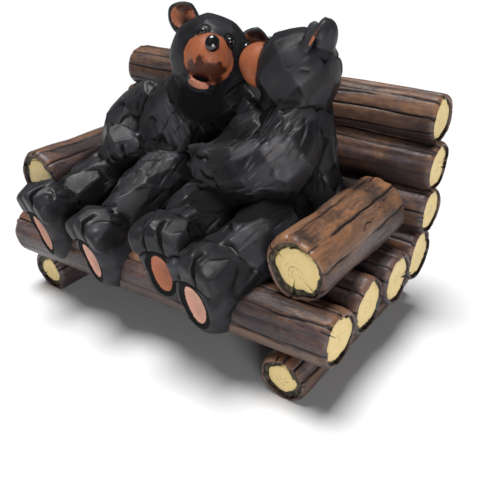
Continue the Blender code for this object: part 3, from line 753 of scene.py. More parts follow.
def limbForm(points, radii, flatness=1.0):
    # A ring carried along a smoothed path, radius eased between the given ones, hemispheres at both ends
    points, radii, across = np.array(points, float), np.array(radii, float), np.array([1.0, 0.0, 0.0])
    steps = 5 * (len(points) - 1) + 1
    t = np.linspace(0, len(points) - 1, steps)
    knots = np.arange(len(points))
    path = np.stack([np.interp(t, knots, points[:, i]) for i in range(3)], 1)
    for _ in range(4):
        path[1:-1] = 0.25 * path[:-2] + 0.5 * path[1:-1] + 0.25 * path[2:]
    radius = np.interp(t, knots, radii)
    tangent = unit(np.gradient(path, axis=0))
    out, capShare = np.sin(capAngles), np.cos(capAngles)
    centres = np.vstack([path[0] - np.outer(out[::-1] * radius[0], tangent[0]), path,
                         path[-1] + np.outer(out * radius[-1], tangent[-1])])
    radius = np.concatenate([capShare[::-1] * radius[0], radius, capShare * radius[-1]])
    rings = len(capAngles)
    direction = np.vstack([np.repeat(tangent[:1], rings, 0), tangent, np.repeat(tangent[-1:], rings, 0)])
    wide = unit(across - direction * (direction @ across)[:, None])
    deep = np.cross(direction, wide)
    angle = formAngles[None, :, None]
    grid = centres[:, None] + radius[:, None, None] * (
        np.cos(angle) * wide[:, None] + flatness * np.sin(angle) * deep[:, None])
    poles = path[0] - tangent[0] * radii[0], path[-1] + tangent[-1] * radii[-1]
    return closedSkin(grid, *poles)


def ballForm(centre, halfSizes, axes, squareness=1.0):
    # Sphere by polar and turning angle, each coordinate to the power of squareness, stretched along the axes
    polar = np.linspace(0, np.pi, 26)[1:-1, None]
    sphere = np.stack(np.broadcast_arrays(
        np.sin(polar) * np.cos(formAngles), np.sin(polar) * np.sin(formAngles), -np.cos(polar)), -1)
    sphere = np.sign(sphere) * np.abs(sphere) ** squareness
    stretch = np.diag(halfSizes) @ np.array(axes, float)
    top = upward @ stretch
    return closedSkin(sphere @ stretch + centre, centre - top, centre + top)


class Bear:
    def __init__(self, name, seatX, headRadius, head, axes, muzzle):
        self.name = name
        self.origin = np.array([seatX, bench["seatFrontY"] + clay["setback"], seatTop])
        self.radius = headRadius
        self.head = np.array(head, float)
        self.axes = axes
        self.muzzle = muzzle  # its length, as a share of the usual
        self.forms = []
        self.lines = []  # carved lines: path, width, depth, ink
        self.strokes = []  # scratched fur: centre, radius, flow, count, length
        self.smoothSpots = []  # where the knife cuts are gentle: centre, radius, share left
        # Ellipsoids: centre, half sizes, axes
        self.presses = []  # hollows pressed into the clay
        self.patches = []  # tan paint; then its tone and how far it is kept clear of the skull
        self.washes = []  # brown wash on the tan, and painted shade at the top of the ear dishes
        self.inks = []  # black paint, and painted shade round the pads; then whether it covers the tan
        # Ellipsoids along the bench: centre, half sizes
        self.paintedShadows = []  # painted shadow: black where shade falls under the limbs and the chin
        self.paintedHighlights = []  # painted highlight: cuts made paler where the light catches them

    def onHead(self, left, back, up):
        return self.head + self.radius * np.array([left, back, up]) @ self.axes

    def spot(self, place, sizes):  # an ellipsoid about the muzzle, from head radii
        place = np.array(place) * [1, self.muzzle, 1]
        return self.onHead(*place), self.radius * np.array(sizes), self.axes

    def place(self, point):  # from units to metres
        return self.origin + formUnit * np.array(point, float)

    def add(self, form):
        points, quads, fans = form
        self.forms.append((self.origin + formUnit * points, quads, fans))

    def inside(self, points, centre, halfSizes, axes=np.eye(3)):  # place in an ellipsoid, in its half sizes
        return (points - self.place(centre)) @ np.array(axes).T / (formUnit * np.array(halfSizes))

    def away(self, points, *ellipsoid):  # 0 in the middle of an ellipsoid, 1 at its edge
        return np.linalg.norm(self.inside(points, *ellipsoid), axis=1)


# Forms of a head: place and half sizes, each (side, back, up) in head radii
headForms = {
    "skull": ((0, 0, 0), (0.98, 1.0, 1.0)),
    "muzzle": ((0, -0.80, -0.10), (0.50, 0.52, 0.52)),
    "jaw": ((0, -0.78, -0.40), (0.36, 0.36, 0.26)),
    "brow": ((0, -0.55, 0.35), (0.62, 0.45, 0.42)),
    "nose": ((0.02, -1.29, 0.11), (0.165, 0.12, 0.185)),
    "eye": ((0.31, -0.90, 0.36), (0.085, 0.085, 0.085)),
    "eyeShift": 0.05,  # both eyes sit this far to the head's left
    "lid": (0.150, 0.030, 0.022),  # reach round the eye, width and depth of the carved line
    "lidInk": 0.7,
    "earSize": (0.39, 0.23, 0.39),
    "earRootPlace": (0.72, 0.90, 0.70),
    "earRootSize": (0.30, 0.20, 0.30),
    "earDishSize": (0.29, 0.22, 0.29),
    "earDishForward": 0.25,
    # Tan in the ear: half sizes, how far ahead of its middle, tone, kept clear of the skull
    "dishPaint": ((0.285, 0.20, 0.285), 0.15, 0.12, 1.03),
    "dishShade": (0.22, (0.30, 0.3, 0.12)),  # painted shade at the top of the dish: how far above the ear's middle, half sizes
    "tanPatch": ((0, -0.98, -0.18), (0.60, 0.62, 0.56)),
    "lipPatch": ((-0.06, -1.00, -0.77), (0.25, 0.36, 0.10)),
    "lipTone": 0.35,
    "mouth": ((-0.05, -1.04, -0.63), (0.21, 0.26, 0.075)),
    "mouthInk": (0.17, 0.26, 0.06),
    "mouthWash": (((0.06, -1.00, -0.50), (0.58, 0.60, 0.17)), ((-0.12, -1.20, -0.36), (0.12, 0.30, 0.14)),
                  ((0.30, -1.10, -0.36), (0.20, 0.40, 0.15))),
}


def addHead(bear, jawDrop, ears, earTurn, smiling):
    r, axes = bear.radius, bear.axes
    for part in ("skull", "muzzle", "brow", "jaw"):
        place, sizes = np.array(headForms[part])
        longer = np.array([1, bear.muzzle if part in ("muzzle", "jaw") else 1, 1])
        place[2] -= jawDrop if part == "jaw" else 0
        bear.add(ballForm(bear.onHead(*(place * longer)), r * (sizes * longer), axes))
    for sign, ear in zip((1, -1), ears):
        flip = np.array([sign, 1, 1])
        # Each ear turns inwards about the head's own up
        inward = np.radians(earTurn) * sign
        earBack = np.cos(inward) * axes[1] + np.sin(inward) * axes[0]
        earAxes = np.array([np.cos(inward) * axes[0] - np.sin(inward) * axes[1], earBack, axes[2]])
        middle = bear.onHead(*(flip * ear))
        root = bear.onHead(*(flip * (np.array(headForms["earRootPlace"]) * ear)))
        bear.add(ballForm(middle, r * np.array(headForms["earSize"]), earAxes))
        bear.add(ballForm(root, r * np.array(headForms["earRootSize"]), earAxes))
        dish = middle - headForms["earDishForward"] * r * earBack
        bear.presses.append((dish, r * np.array(headForms["earDishSize"]), earAxes))
        sizes, ahead, tone, clear = headForms["dishPaint"]
        bear.patches.append((middle - ahead * r * earBack, r * np.array(sizes), earAxes, tone, clear))
        # Painted shade at the top of the ear dish
        above, sizes = headForms["dishShade"]
        bear.washes.append((middle + above * r * axes[2], r * np.array(sizes), earAxes))
        bear.smoothSpots.append((middle, 0.45 * r, 0.35))
    bear.patches.append((*bear.spot(*headForms["tanPatch"]), 0.0, 0.0))
    if smiling:
        bear.patches.append((*bear.spot(*headForms["lipPatch"]), headForms["lipTone"], 0.0))
        bear.presses.append(bear.spot(*headForms["mouth"]))
        bear.inks.append((*bear.spot(headForms["mouth"][0], headForms["mouthInk"]), True))
        bear.washes += [bear.spot(*wash) for wash in headForms["mouthWash"]]
    # A carved line rings each eye
    place = np.array(headForms["eye"][0])
    reach, width, depth = headForms["lid"]
    turn = np.linspace(0, circle, 13)
    for sign in (-1, 1):
        ring = np.stack([np.cos(turn), 0.25 * np.abs(np.cos(turn)), np.sin(turn)], 1)
        ring = (place + reach * ring) * [sign, 1, 1] + [headForms["eyeShift"], 0, 0]
        bear.lines.append(([bear.onHead(*p) for p in ring], width * r, depth * r, headForms["lidInk"]))
    bear.smoothSpots.append((bear.head, 1.20 * r, 0.60))
    bear.smoothSpots.append((bear.onHead(0, -1.0, -0.1), 0.75 * r, 0.0))


footForms = {
    "soleDepth": 5.6,
    "soleCut": (6.1, 1.6, 1.4),  # a broad press flattens the sole: place, spread, half depth
    "lean": 10.0,
    "ballOfFoot": (0.16, 1.00, 0.74),  # rise, width and height, as shares
    "heel": (-0.40, 0.86, 0.60),
    "toeSpacing": 0.60,
    "toeRise": 0.66,
    "outerToeDrop": 0.12,
    "toeSize": (0.36, 0.32),
    "toeSquareness": 0.62,
    "padForward": 5.5,
    "padDrop": 0.10,
    "padSize": (0.56, 1.7, 0.58),
    "padPaint": (0.68, 0.84),  # width and height, as shares of the pad's
    # painted shade: a black ring where the pad's groove lies in shade
    "padShadeRing": (0.94, 1.02),
    "paintDepth": 3.0,
    "grooveAt": 0.30,  # toe grooves, as a share of the half width
    "grooveReach": ((0.44, -5.6), (0.70, -5.0), (0.92, -3.6), (1.02, -1.6), (1.02, 0.6)),  # rise, back
    "groove": (0.40, 0.80, 1.0),  # width, depth, ink
    "toeLine": ((-0.72, 0.22), (-0.40, 0.40), (0.0, 0.46), (0.40, 0.40), (0.72, 0.22)),  # across, rise
    "toeCrease": (0.34, 0.35, 0.9),
    "creaseForward": 5.4,
}


def addFoot(bear, centre, ankle, halfWidth, halfHeight, yaw, tone):
    yaw, tipped = np.radians([yaw, footForms["lean"]])
    left = np.array([np.cos(yaw), np.sin(yaw), 0.0])
    levelBack = np.array([-np.sin(yaw), np.cos(yaw), 0.0])
    up = np.cos(tipped) * upward - np.sin(tipped) * levelBack
    back = np.cross(up, left)
    axes = np.array([left, back, up])
    centre = np.array(centre, float)

    def sized(width, depth, height):
        return width * halfWidth, depth, height * halfHeight

    def footPoint(across, rise, deep):
        return centre + across * halfWidth * left + rise * halfHeight * up + deep * back

    bear.add(limbForm([ankle, centre + 2.0 * back], [1.02 * halfWidth, 0.98 * halfWidth]))
    for rise, width, height in (footForms["ballOfFoot"], footForms["heel"]):
        bear.add(ballForm(centre + rise * halfHeight * up, sized(width, footForms["soleDepth"], height), axes))
    wide, high = footForms["toeSize"]
    for toe in (-1, 0, 1):
        across = footForms["toeSpacing"] * halfWidth * toe * left
        rise = (footForms["toeRise"] - footForms["outerToeDrop"] * abs(toe)) * halfHeight * up
        toeSizes = sized(wide, footForms["soleDepth"], high)
        bear.add(ballForm(centre + across + rise + 0.3 * back, toeSizes, axes, footForms["toeSquareness"]))
    forward, cut, depth = footForms["soleCut"]
    bear.presses.append((centre - forward * back, sized(cut, depth, cut), axes))
    pad = centre - footForms["padForward"] * back - footForms["padDrop"] * halfHeight * up
    wide, depth, high = footForms["padSize"]
    bear.presses.append((pad, sized(wide, depth, high), axes))
    tan, ink = (sized(shares[0] * wide, footForms["paintDepth"], shares[1] * high)
                for shares in (footForms["padPaint"], footForms["padShadeRing"]))
    bear.patches.append((pad, tan, axes, tone, 0.0))
    # The black ring round the pad is painted shade in its groove
    bear.inks.append((pad, ink, axes, False))
    bear.smoothSpots.append((centre - 5.0 * back, 0.95 * halfHeight, 0.15))
    for sign in (-1, 1):
        path = [footPoint(sign * footForms["grooveAt"], rise, deep) for rise, deep in footForms["grooveReach"]]
        bear.lines.append((path, *footForms["groove"]))
    crease = [footPoint(across, rise, -footForms["creaseForward"]) for across, rise in footForms["toeLine"]]
    bear.lines.append((crease, *footForms["toeCrease"]))


def addPaw(bear, palm, reach, across, radius):
    reach = unit(np.array(reach, float))
    across = np.array(across, float)
    across = unit(across - reach * (across @ reach))
    for i in range(4):
        root = np.array(palm) + 0.36 * radius * (i - 1.5) * across + 0.55 * radius * reach
        bear.add(limbForm([root, root + 0.75 * radius * reach], [0.24 * radius, 0.13 * radius]))


def addClaw(bear, root, tip, raised):  # a pale raised sliver with a black slit under it
    root, tip = np.array(root, float), np.array(tip, float)
    lift = 0.75 * unit(np.array(raised, float))
    bear.lines.append(([root + lift, tip + lift], *clay["clawLine"]))
    bear.lines.append(([root, tip], *clay["clawSlit"]))


# Each pose in units: a limb is a path, its radii and how flat it is, a ball a centre and half sizes, a paw
# a palm, its reach, the way across and a radius, and a foot what addFoot takes
leftPose = {
    "name": "left_bear",
    "seatX": -0.0216,
    "head": (11.4, (18.2, 6.8, 41.3)),
    "gaze": (42, 22, 21),
    "muzzle": 1.0,
    "face": (0.30, ((0.91, 0.27, 0.74), (0.91, 0.27, 0.74)), 0, True),
    "forms": (
        ("limb", [(-1, 5, 8), (2, 4.5, 16), (7.5, 5, 24), (13, 6, 32)], [14.0, 13.5, 11.8, 8.8], 0.86),
        ("ball", (1.5, -1.5, 12), (12, 9, 10)),
        ("limb", [(-5, 4, 27), (-11.8, 0, 21), (-9.5, -6, 17.5), (-4.5, -10, 15.5)], [6.2, 6.8, 6.2, 5.8]),
        ("paw", (-4.5, -10, 15.5), (-0.15, -0.6, -0.8), (0.9, 0.1, 0.4), 5.4),
        ("limb", [(19, 7, 28), (26, 9, 31), (33, 10.5, 28)], [7.0, 6.0, 5.2]),
        ("limb", [(-7, -1, 8.5), (-9.8, -14, 8), (-11.3, -26, 3.5)], [8.6, 7.4, 7.2]),
        ("foot", (-11.8, -34.0, -0.2), (-11.3, -27, 2), 7.6, 13.0, -6, 0.65),
        ("limb", [(8, -4, 8), (9.5, -16, 7.5), (10.0, -26, 2)], [9.8, 8.4, 7.6]),
        ("foot", (9.4, -34.3, -2.4), (10.0, -27, 0), 7.8, 12.6, -6, 1.0)),
    "furLines": (
        [(19.2, 0.1, 24.2), (14.3, -1.9, 17.6), (15.0, -8.5, 15.3), (16.7, -15.5, 13.0)],
        [(20.7, -0.1, 26.5), (16.6, -0.4, 22.1)], [(10.4, -3.7, 27.1), (7.1, -5.6, 21.2), (6.9, -8.8, 17.7)],
        [(13.3, -2.1, 30.3), (10.7, -3.6, 27.2)], [(11.5, -4.2, 22.0), (13.2, -3.2, 24.0)],
        [(-7.4, -5.6, 23.7), (-7.5, -9.8, 20.3)], [(10.8, -9.5, 17.5), (12.9, -15.4, 16.0)],
        [(17.9, -16.0, 10.5), (17.5, -22.2, 8.3)], [(18.1, -11.5, 10.1), (18.3, -19.6, 5.9)],
        [(14.5, -1.4, 16.9), (16.9, -12.1, 13.1)], [(17.7, -0.2, 31.6), (16.0, -1.3, 28.3)]),
    "claws": (
        ((-4.9, -13.7, 16.8), (-2.1, -15.3, 13.9)), ((-3.8, -12.7, 17.0), (-1.8, -13.6, 14.3)),
        ((-2.6, -11.4, 17.1), (-1.3, -11.6, 14.7)), ((-1.6, -8.1, 18.2), (1.6, -9.0, 17.3))),
    "clawLift": (0.6, -0.3, 0.6),
    "strokes": (
        ((12, -4, 22), 9.0, (0.5, -0.1, -1.0), 44, 5.0), ((-6, 0, 26), 6.5, (0.2, -0.4, -1.0), 16, 4.0),
        ((8, -16, 14), 9.0, (0.3, -1.0, -0.3), 24, 5.0), ((-8, -16, 14), 8.0, (0.0, -1.0, -0.3), 18, 5.0),
        ((2, 16, 24), 14.0, (0.2, 0.1, -1.0), 50, 6.0)),
    "paintedShadows": (((2, -15, 12), (7, 7, 4)), ((-4.5, -13, 11), (7, 7, 4)), ((19, 0, 31), (10, 9, 7.5))),
    "paintedHighlights": (((-1.5, -8.0, 19.0), (4, 4, 4)), ((11, -4, 24), (9, 7, 11)), ((14, -38, 7), (3.5, 4, 3.5)),
              ((12.5, -26, 10.5), (4, 5, 4))),
}
rightPose = {
    "name": "right_bear",
    "seatX": 0.0226,
    "head": (10.7, (2.2, 6.2, 41.3)),
    "gaze": (-85, 11, -46),
    "muzzle": 1.18,
    "face": (0.0, ((0.70, 0.50, 0.72), (0.62, 0.46, 0.64)), 12, False),
    "forms": (
        ("limb", [(1, 4, 8), (1, 4, 17), (2, 5, 26), (1.8, 6, 35)], [15.0, 13.8, 11.6, 9.5], 0.90),
        ("ball", (9.0, 3.0, 7.5), (11, 11, 9)),
        ("ball", (-6.0, -1.0, 24), (9.5, 8.0, 8.5)),
        ("ball", (-9.5, -4.0, 21.5), (8.0, 7.0, 7.0)),
        ("limb", [(5, 1, 30), (7.5, -8, 22.5), (-3, -12, 19.5), (-11.5, -11.5, 19.2)], [8.0, 8.2, 7.8, 7.2]),
        ("paw", (-12, -11.5, 19.3), (-0.95, -0.1, 0.1), (0, 0, 1), 6.8),
        ("ball", (-10.5, 1.5, 32.0), (3.0, 3.0, 3.0)),
        ("limb", [(5, -4, 8), (8, -17, 7.5), (3.6, -26, 2)], [9.6, 8.8, 8.6]),
        ("foot", (1.4, -34.2, -2.4), (3.2, -27, 1), 9.2, 13.4, -2, 1.0),
        ("limb", [(-8, -4, 7), (-10.5, -17, 8), (-10.9, -26, 4.5)], [9.6, 8.4, 7.6]),
        ("ball", (-21.0, -6.0, 4.0), (10, 15, 7.5)),
        ("foot", (-11.0, -33.6, 2.4), (-10.9, -27, 5), 8.0, 13.0, 14, 0.05),
        # The front rim of the far ear
        ("limb", [(9.5, 1.4, 53.5), (8.6, 0.9, 51.4), (7.4, 0.8, 49.4)], [1.5, 1.6, 1.3])),
    "furLines": (
        [(2.9, -6.7, 33.1), (1.2, -8.2, 30.5), (0.9, -9.9, 28.9)],
        [(6.1, -7.4, 32.9), (5.5, -10.5, 30.0), (5.8, -12.5, 27.9)],
        [(7.4, -6.3, 33.6), (7.3, -10.1, 30.2)], [(9.2, -6.4, 32.5), (8.9, -10.6, 28.7)],
        [(-0.4, -6.5, 30.5), (-3.7, -7.8, 27.9), (-3.2, -12.6, 26.1)],
        [(-4.8, -7.0, 29.3), (-6.9, -8.7, 26.5)],
        [(3.7, -10.4, 29.9), (2.9, -13.6, 26.7)], [(10.6, -3.3, 33.6), (11.3, -7.0, 29.8)],
        [(11.3, 1.0, 34.5), (13.0, -3.4, 29.1)], [(-3.0, -21.1, 12.0), (-3.8, -27.0, 9.3)],
        [(6.2, -25.1, 14.6), (4.4, -30.0, 10.9)],
        [(8.0, -22.7, 16.0), (11.2, -19.0, 16.7), (13.0, -14.0, 16.5)],
        [(9.2, -23.5, 15.3), (14.2, -15.7, 15.0)], [(7.6, -1.4, 44.4), (9.2, 0.1, 44.1)]),
    "claws": (
        ((-15.0, -13.7, 22.1), (-10.1, -15.0, 22.3)), ((-16.6, -14.5, 17.9), (-11.4, -16.8, 18.0)),
        ((-10.7, -16.1, 20.1), (-6.9, -16.7, 19.8))),
    "clawLift": (0.0, -0.2, 1.0),
    "strokes": (
        ((4, -9, 29), 10.0, (-0.4, -0.6, -1.0), 56, 5.0), ((6, 16, 26), 15.0, (0.0, 0.1, -1.0), 60, 6.0),
        ((13, 4, 22), 10.0, (0.1, -0.2, -1.0), 34, 5.0), ((4, -20, 14), 10.0, (-0.2, -1.0, -0.4), 28, 5.0),
        ((-12, -20, 12), 9.0, (-0.1, -1.0, -0.4), 20, 5.0)),
    "paintedShadows": (((-7, -20, 14), (9, 7, 4)), ((2, -20, 14.3), (10, 7, 3.8)), ((10, -16, 15.7), (8, 8, 3.6)),
               ((-11, -8, 28), (5, 6, 4))),
    "paintedHighlights": (((6, -13, 25), (13, 8, 9)), ((8, -27, 12.3), (5, 4.5, 3.5)), ((-1, -39, 6.8), (5.5, 4, 3.5)),
              ((5, 0, 47), (4.0, 3.5, 3.5))),
    "sliver": ((9.7, 1.6, 51.9), (2.9, 0.38, 3.0)),  # tan between the far ear's rim and its lobe
    "sliverWash": ((9.9, 1.7, 52.6), (1.2, 0.5, 3.0)),
    "sliverAxes": ((2.6, 0.8, 4.4), (0.82, 0.57, -0.6), (0.57, -0.80, -0.19)),
}


def poseBear(pose):
    bear = Bear(pose["name"], pose["seatX"], *pose["head"], headAxes(*pose["gaze"]), pose["muzzle"])
    addHead(bear, *pose["face"])
    for kind, *shape in pose["forms"]:
        if kind == "limb":
            bear.add(limbForm(*shape))
        elif kind == "ball":
            bear.add(ballForm(np.array(shape[0]), shape[1], np.eye(3)))
        elif kind == "paw":
            addPaw(bear, *shape)
        else:
            addFoot(bear, *shape)
    for path in pose["furLines"]:
        bear.lines.append((path, *clay["furLine"]))
    for root, tip in pose["claws"]:
        addClaw(bear, root, tip, pose["clawLift"])
    bear.strokes, bear.paintedShadows, bear.paintedHighlights = pose["strokes"], pose["paintedShadows"], pose["paintedHighlights"]
    if "sliver" in pose:
        longAxis, flatAxis, thirdAxis = np.array(pose["sliverAxes"])
        axes = np.array([unit(longAxis), unit(flatAxis), thirdAxis])
        bear.patches.append((*pose["sliver"], axes, 0.0, 0.0))
        bear.washes.append((*pose["sliverWash"], axes))
    return bear


def fusedClay(bear):  # all forms of a bear, fused by a fine voxel remesh
    points, quads, fans, start = [], [], [], 0
    for formPoints, formQuads, formFans in bear.forms:
        points.append(formPoints)
        quads.append(formQuads + start)
        fans.append(formFans + start)
        start += len(formPoints)
    rough = buildMesh(bear.name + "_rough", np.vstack(points), [np.vstack(quads), np.vstack(fans)], fur)
    fuse = rough.modifiers.new("fuse", "REMESH")
    fuse.mode = "VOXEL"
    fuse.voxel_size = clay["voxel"]
    graph = bpy.context.evaluated_depsgraph_get()
    mesh = bpy.data.meshes.new_from_object(rough.evaluated_get(graph), depsgraph=graph)
    bpy.data.objects.remove(rough, do_unlink=True)
    mesh.name = bear.name
    return mesh


def readItems(items, key, width, kind=np.float32):
    values = np.empty(len(items) * width, kind)
    items.foreach_get(key, values)
    return values.reshape(-1, width)


def normalsAt(mesh, points):  # moves the mesh's vertices to these points first
    mesh.vertices.foreach_set("co", points.astype(np.float32).ravel())
    mesh.update()
    return readItems(mesh.vertex_normals, "vector", 3).astype(float)


def relax(values, edges, times):  # each value moves halfway to the mean of its neighbours
    count = len(values)
    a, b = edges.T
    near = np.bincount(a, minlength=count) + np.bincount(b, minlength=count)
    flat = values.reshape(count, -1).copy()
    for _ in range(times):
        total = np.stack([np.bincount(a, flat[b, i], count) + np.bincount(b, flat[a, i], count)
                          for i in range(flat.shape[1])], 1)
        flat += 0.5 * (total / near[:, None] - flat)
    return flat.reshape(values.shape)


def pressClay(points, bear):  # the clay inside an ellipsoid moves to its far side
    for centre, halfSizes, axes in bear.presses:
        local = bear.inside(points, centre, halfSizes, axes)
        squares = local ** 2
        inside = squares.sum(1) < 1
        local[inside, 1] = np.sqrt(1 - squares[inside].sum(1) + squares[inside, 1])
        stretch = formUnit * np.array(halfSizes)
        points[inside] = (local[inside] * stretch) @ np.array(axes) + bear.place(centre)
    return points


def spreadSeeds(features, spacing, rng):
    # Each new seed is the point farthest from those chosen, until all lie within their spacing
    seeds = [int(rng.integers(len(features)))]
    nearest = np.linalg.norm(features - features[seeds[0]], axis=1)
    while (nearest / spacing).max() > 1 and len(seeds) < clay["mostFacets"]:
        seeds.append(int((nearest / spacing).argmax()))
        nearest = np.minimum(nearest, np.linalg.norm(features - features[seeds[-1]], axis=1))
    return seeds


def whittle(points, normals, amount, rng):
    # Seeds spread evenly over place and direction; each point is drawn to the mean planes of its nearest seeds
    features = np.hstack([points, clay["facetTurnWeight"] * normals])
    least, swing, waves = clay["facetUneven"]
    uneven = least + swing * np.abs(np.sin(points @ np.array(waves)))
    seeds = spreadSeeds(features, clay["facetGap"] * uneven, rng)
    seedFeatures = features[seeds]
    squares = (seedFeatures ** 2).sum(1)
    blockSize, mixed = 8192, clay["facetsMixed"]  # blocks of points keep the distance tables small
    blocks = [slice(begin, begin + blockSize) for begin in range(0, len(points), blockSize)]
    label = np.concatenate([(squares - 2 * features[block] @ seedFeatures.T).argmin(1) for block in blocks])

    def facetMean(values):
        return np.stack([np.bincount(label, values[:, i], len(seeds)) for i in range(3)], 1)

    held = np.maximum(np.bincount(label, minlength=len(seeds)), 1)[:, None]
    centres, facing = facetMean(points) / held, unit(facetMean(normals) + 1e-9)
    shift = np.zeros_like(points)
    for block in blocks:
        part = features[block]
        distance = squares - 2 * part @ seedFeatures.T + (part ** 2).sum(1)[:, None]
        near = np.argpartition(distance, mixed, axis=1)[:, :mixed]
        closeness = np.take_along_axis(distance, near, 1)
        weight = np.exp(-(closeness - closeness.min(1, keepdims=True)) / clay["facetBlend"] ** 2)
        weight /= weight.sum(1, keepdims=True)
        height = ((centres[near] - points[block][:, None]) * facing[near]).sum(-1)
        shift[block] = ((weight * height)[..., None] * facing[near]).sum(1)
    size = np.linalg.norm(shift, axis=1, keepdims=True) + 1e-12
    shift *= np.minimum(size, clay["mostCut"]) / size
    shade = rng.uniform(0, 1, len(seeds))[label]
    return points + amount[:, None] * shift, shade


def lineDistance(points, path):  # distance of each point to a polyline, and where along it
    best = np.full(len(points), 1.0)
    where = np.zeros(len(points))
    for i, (a, b) in enumerate(zip(path[:-1], path[1:])):
        span = b - a
        t = np.clip((points - a) @ span / (span @ span), 0, 1)
        distance = np.linalg.norm(points - a - t[:, None] * span, axis=1)
        closer = distance < best
        best[closer] = distance[closer]
        where[closer] = (i + t[closer]) / (len(path) - 1)
    return best, where


def scratchFur(points, normals, bear, rng):
    # Short straight cuts laid along a flow direction; each sinks its own narrow trough
    sink = np.zeros(len(points))
    tint = np.zeros(len(points))
    for centre, radius, flow, count, length in bear.strokes:
        length = formUnit * length
        inside = np.nonzero(np.linalg.norm(points - bear.place(centre), axis=1) < formUnit * radius)[0]
        for start in rng.choice(inside, count):
            direction = np.array(flow, float) + rng.normal(0, clay["scratchSpread"], 3)
            direction = unit(direction - normals[start] * (direction @ normals[start]))
            half = 0.5 * length * rng.uniform(0.5, 1.2) * direction
            near = inside[np.abs(points[inside] - points[start]).max(1) < length]
            distance, where = lineDistance(points[near], [points[start] - half, points[start] + half])
            light = rng.uniform() < clay["hairShare"]
            width = clay["hairWidth"] if light else clay["scratchWidth"]
            trough = np.exp(-(distance / width) ** 2) * np.sin(np.pi * np.clip(where, 0.02, 0.98)) ** 0.5
            sink[near] = np.maximum(sink[near], (0.4 if light else 1.0) * trough)
            tint[near] += (0.8 if light else -0.8) * trough
    return sink, np.clip(tint, -1, 1)


def carveLines(points, normals, bear):  # each line is drawn onto the surface, then sinks a trough
    ink = np.zeros(len(points))
    for path, width, depth, blackness in bear.lines:
        knots = np.array([bear.place(p) for p in path])
        t = np.linspace(0, len(knots) - 1, 5 * len(knots))
        dense = np.stack([np.interp(t, np.arange(len(knots)), knots[:, i]) for i in range(3)], 1)
        reach = np.ptp(knots, axis=0) / 2 + clay["lineReach"]
        near = np.nonzero((np.abs(points - knots.mean(0)) < reach).all(1))[0]
        snapped = points[near[((points[near][None] - dense[:, None]) ** 2).sum(-1).argmin(1)]]
        snapped[1:-1] = 0.25 * snapped[:-2] + 0.5 * snapped[1:-1] + 0.25 * snapped[2:]
        distance, where = lineDistance(points[near], snapped)
        fading = np.sin(np.pi * np.clip(where, 0.03, 0.97)) ** 0.3
        trough = np.zeros(len(points))
        trough[near] = np.exp(-(distance / (formUnit * width)) ** 2) * fading
        points = points - formUnit * depth * trough[:, None] * normals
        ink = np.maximum(ink, blackness * np.clip(1.5 * trough, 0, 1))
    return points, ink


def tanPaint(points, bear):  # 1 in the middle of a patch and 0.5 at its edge; the tone turns tan to pink
    tan, tone = np.zeros(len(points)), np.zeros(len(points))
    fromSkull = bear.away(points, bear.head, bear.radius)
    for *ellipsoid, patchTone, clear in bear.patches:
        field = np.clip(1 - 0.5 * bear.away(points, *ellipsoid), 0, 1)
        if clear > 0:  # fades out where the skull begins
            field = np.minimum(field, np.clip(0.5 + 4 * (fromSkull - clear), 0, 1))
        tone = np.where(field > tan, patchTone, tone)
        tan = np.maximum(tan, field)
    return tan, tone


def carveBear(bear, seed):
    rng = np.random.default_rng(seed)
    mesh = fusedClay(bear)
    edges = readItems(mesh.edges, "vertices", 2, np.int32)
    points = relax(readItems(mesh.vertices, "co", 3).astype(float), edges, clay["softening"])
    points = relax(pressClay(points, bear), edges, 2)
    normals = relax(normalsAt(mesh, points), edges, 6)
    amount = np.full(len(points), clay["facetShare"])
    for centre, radius, left in bear.smoothSpots:
        away = bear.away(points, centre, radius)
        amount = np.minimum(amount, left + (1 - left) * np.clip((away - 0.85) / 0.3, 0, 1))
    points, shade = whittle(points, unit(normals), amount, rng)
    points = relax(points, edges, 1)
    normals = normalsAt(mesh, points)
    sink, tint = scratchFur(points, normals, bear, rng)
    points, ink = carveLines(points - clay["scratchDepth"] * sink[:, None] * normals, normals, bear)
    tan, tone = tanPaint(points, bear)
    wash = np.max([np.clip(1 - 0.5 * bear.away(points, *wash), 0, 1) for wash in bear.washes], 0)
    for *ellipsoid, overTan in bear.inks:
        field = np.clip(1 - 0.5 * bear.away(points, *ellipsoid), 0, 1)
        ink = np.maximum(ink, np.clip((field - 0.46) / 0.06, 0, 1) * (overTan | (tan < 0.5)))
    # Hollows are fine, recesses broad; both take the wash. The broad recesses are painted shade, and their
    # high spots a painted highlight
    normals = normalsAt(mesh, points)
    smooth = relax(points, edges, clay["hollowReach"])
    hollow = ((smooth - points) * normals).sum(1) / clay["hollowDepth"]
    smooth = relax(smooth, edges, clay["recessReach"])
    recess = ((smooth - points) * normals).sum(1) / clay["recessDepth"]
    # Painted shadow: darker ellipsoids under the forearms and the chin
    for ellipsoid in bear.paintedShadows:
        recess = np.maximum(recess, 2.2 * (1 - bear.away(points, *ellipsoid)))
    # Painted highlight: cuts that catch the light are made paler
    for ellipsoid in bear.paintedHighlights:
        shade = shade + (0.4 + 1.3 * shade) * np.clip(2 * (1 - bear.away(points, *ellipsoid)), 0, 1)
    hollow = relax(np.clip(hollow + recess, -1, 1), edges, 1)
    mesh.shade_smooth()
    mesh.materials.clear()
    mesh.materials.append(fur)
    piece = addPiece(bear.name, mesh, "painted_resin")
    paintPoints(piece, hollow=hollow, recess=np.clip(recess, -1, 1), facet=relax(shade, edges, 2),
                stroke=tint, tan=tan, tone=tone, wash=wash, ink=ink)
    print(bear.name, "carved,", len(mesh.polygons), "faces")
    return piece


def addGloss(bear, label, left, back, up, sizes):
    points, quads, fans = ballForm(bear.onHead(left, back, up), bear.radius * np.array(sizes), bear.axes)
    buildMesh(f"{bear.name}_{label}", bear.place(points), [quads, fans], gloss, "gloss_black")


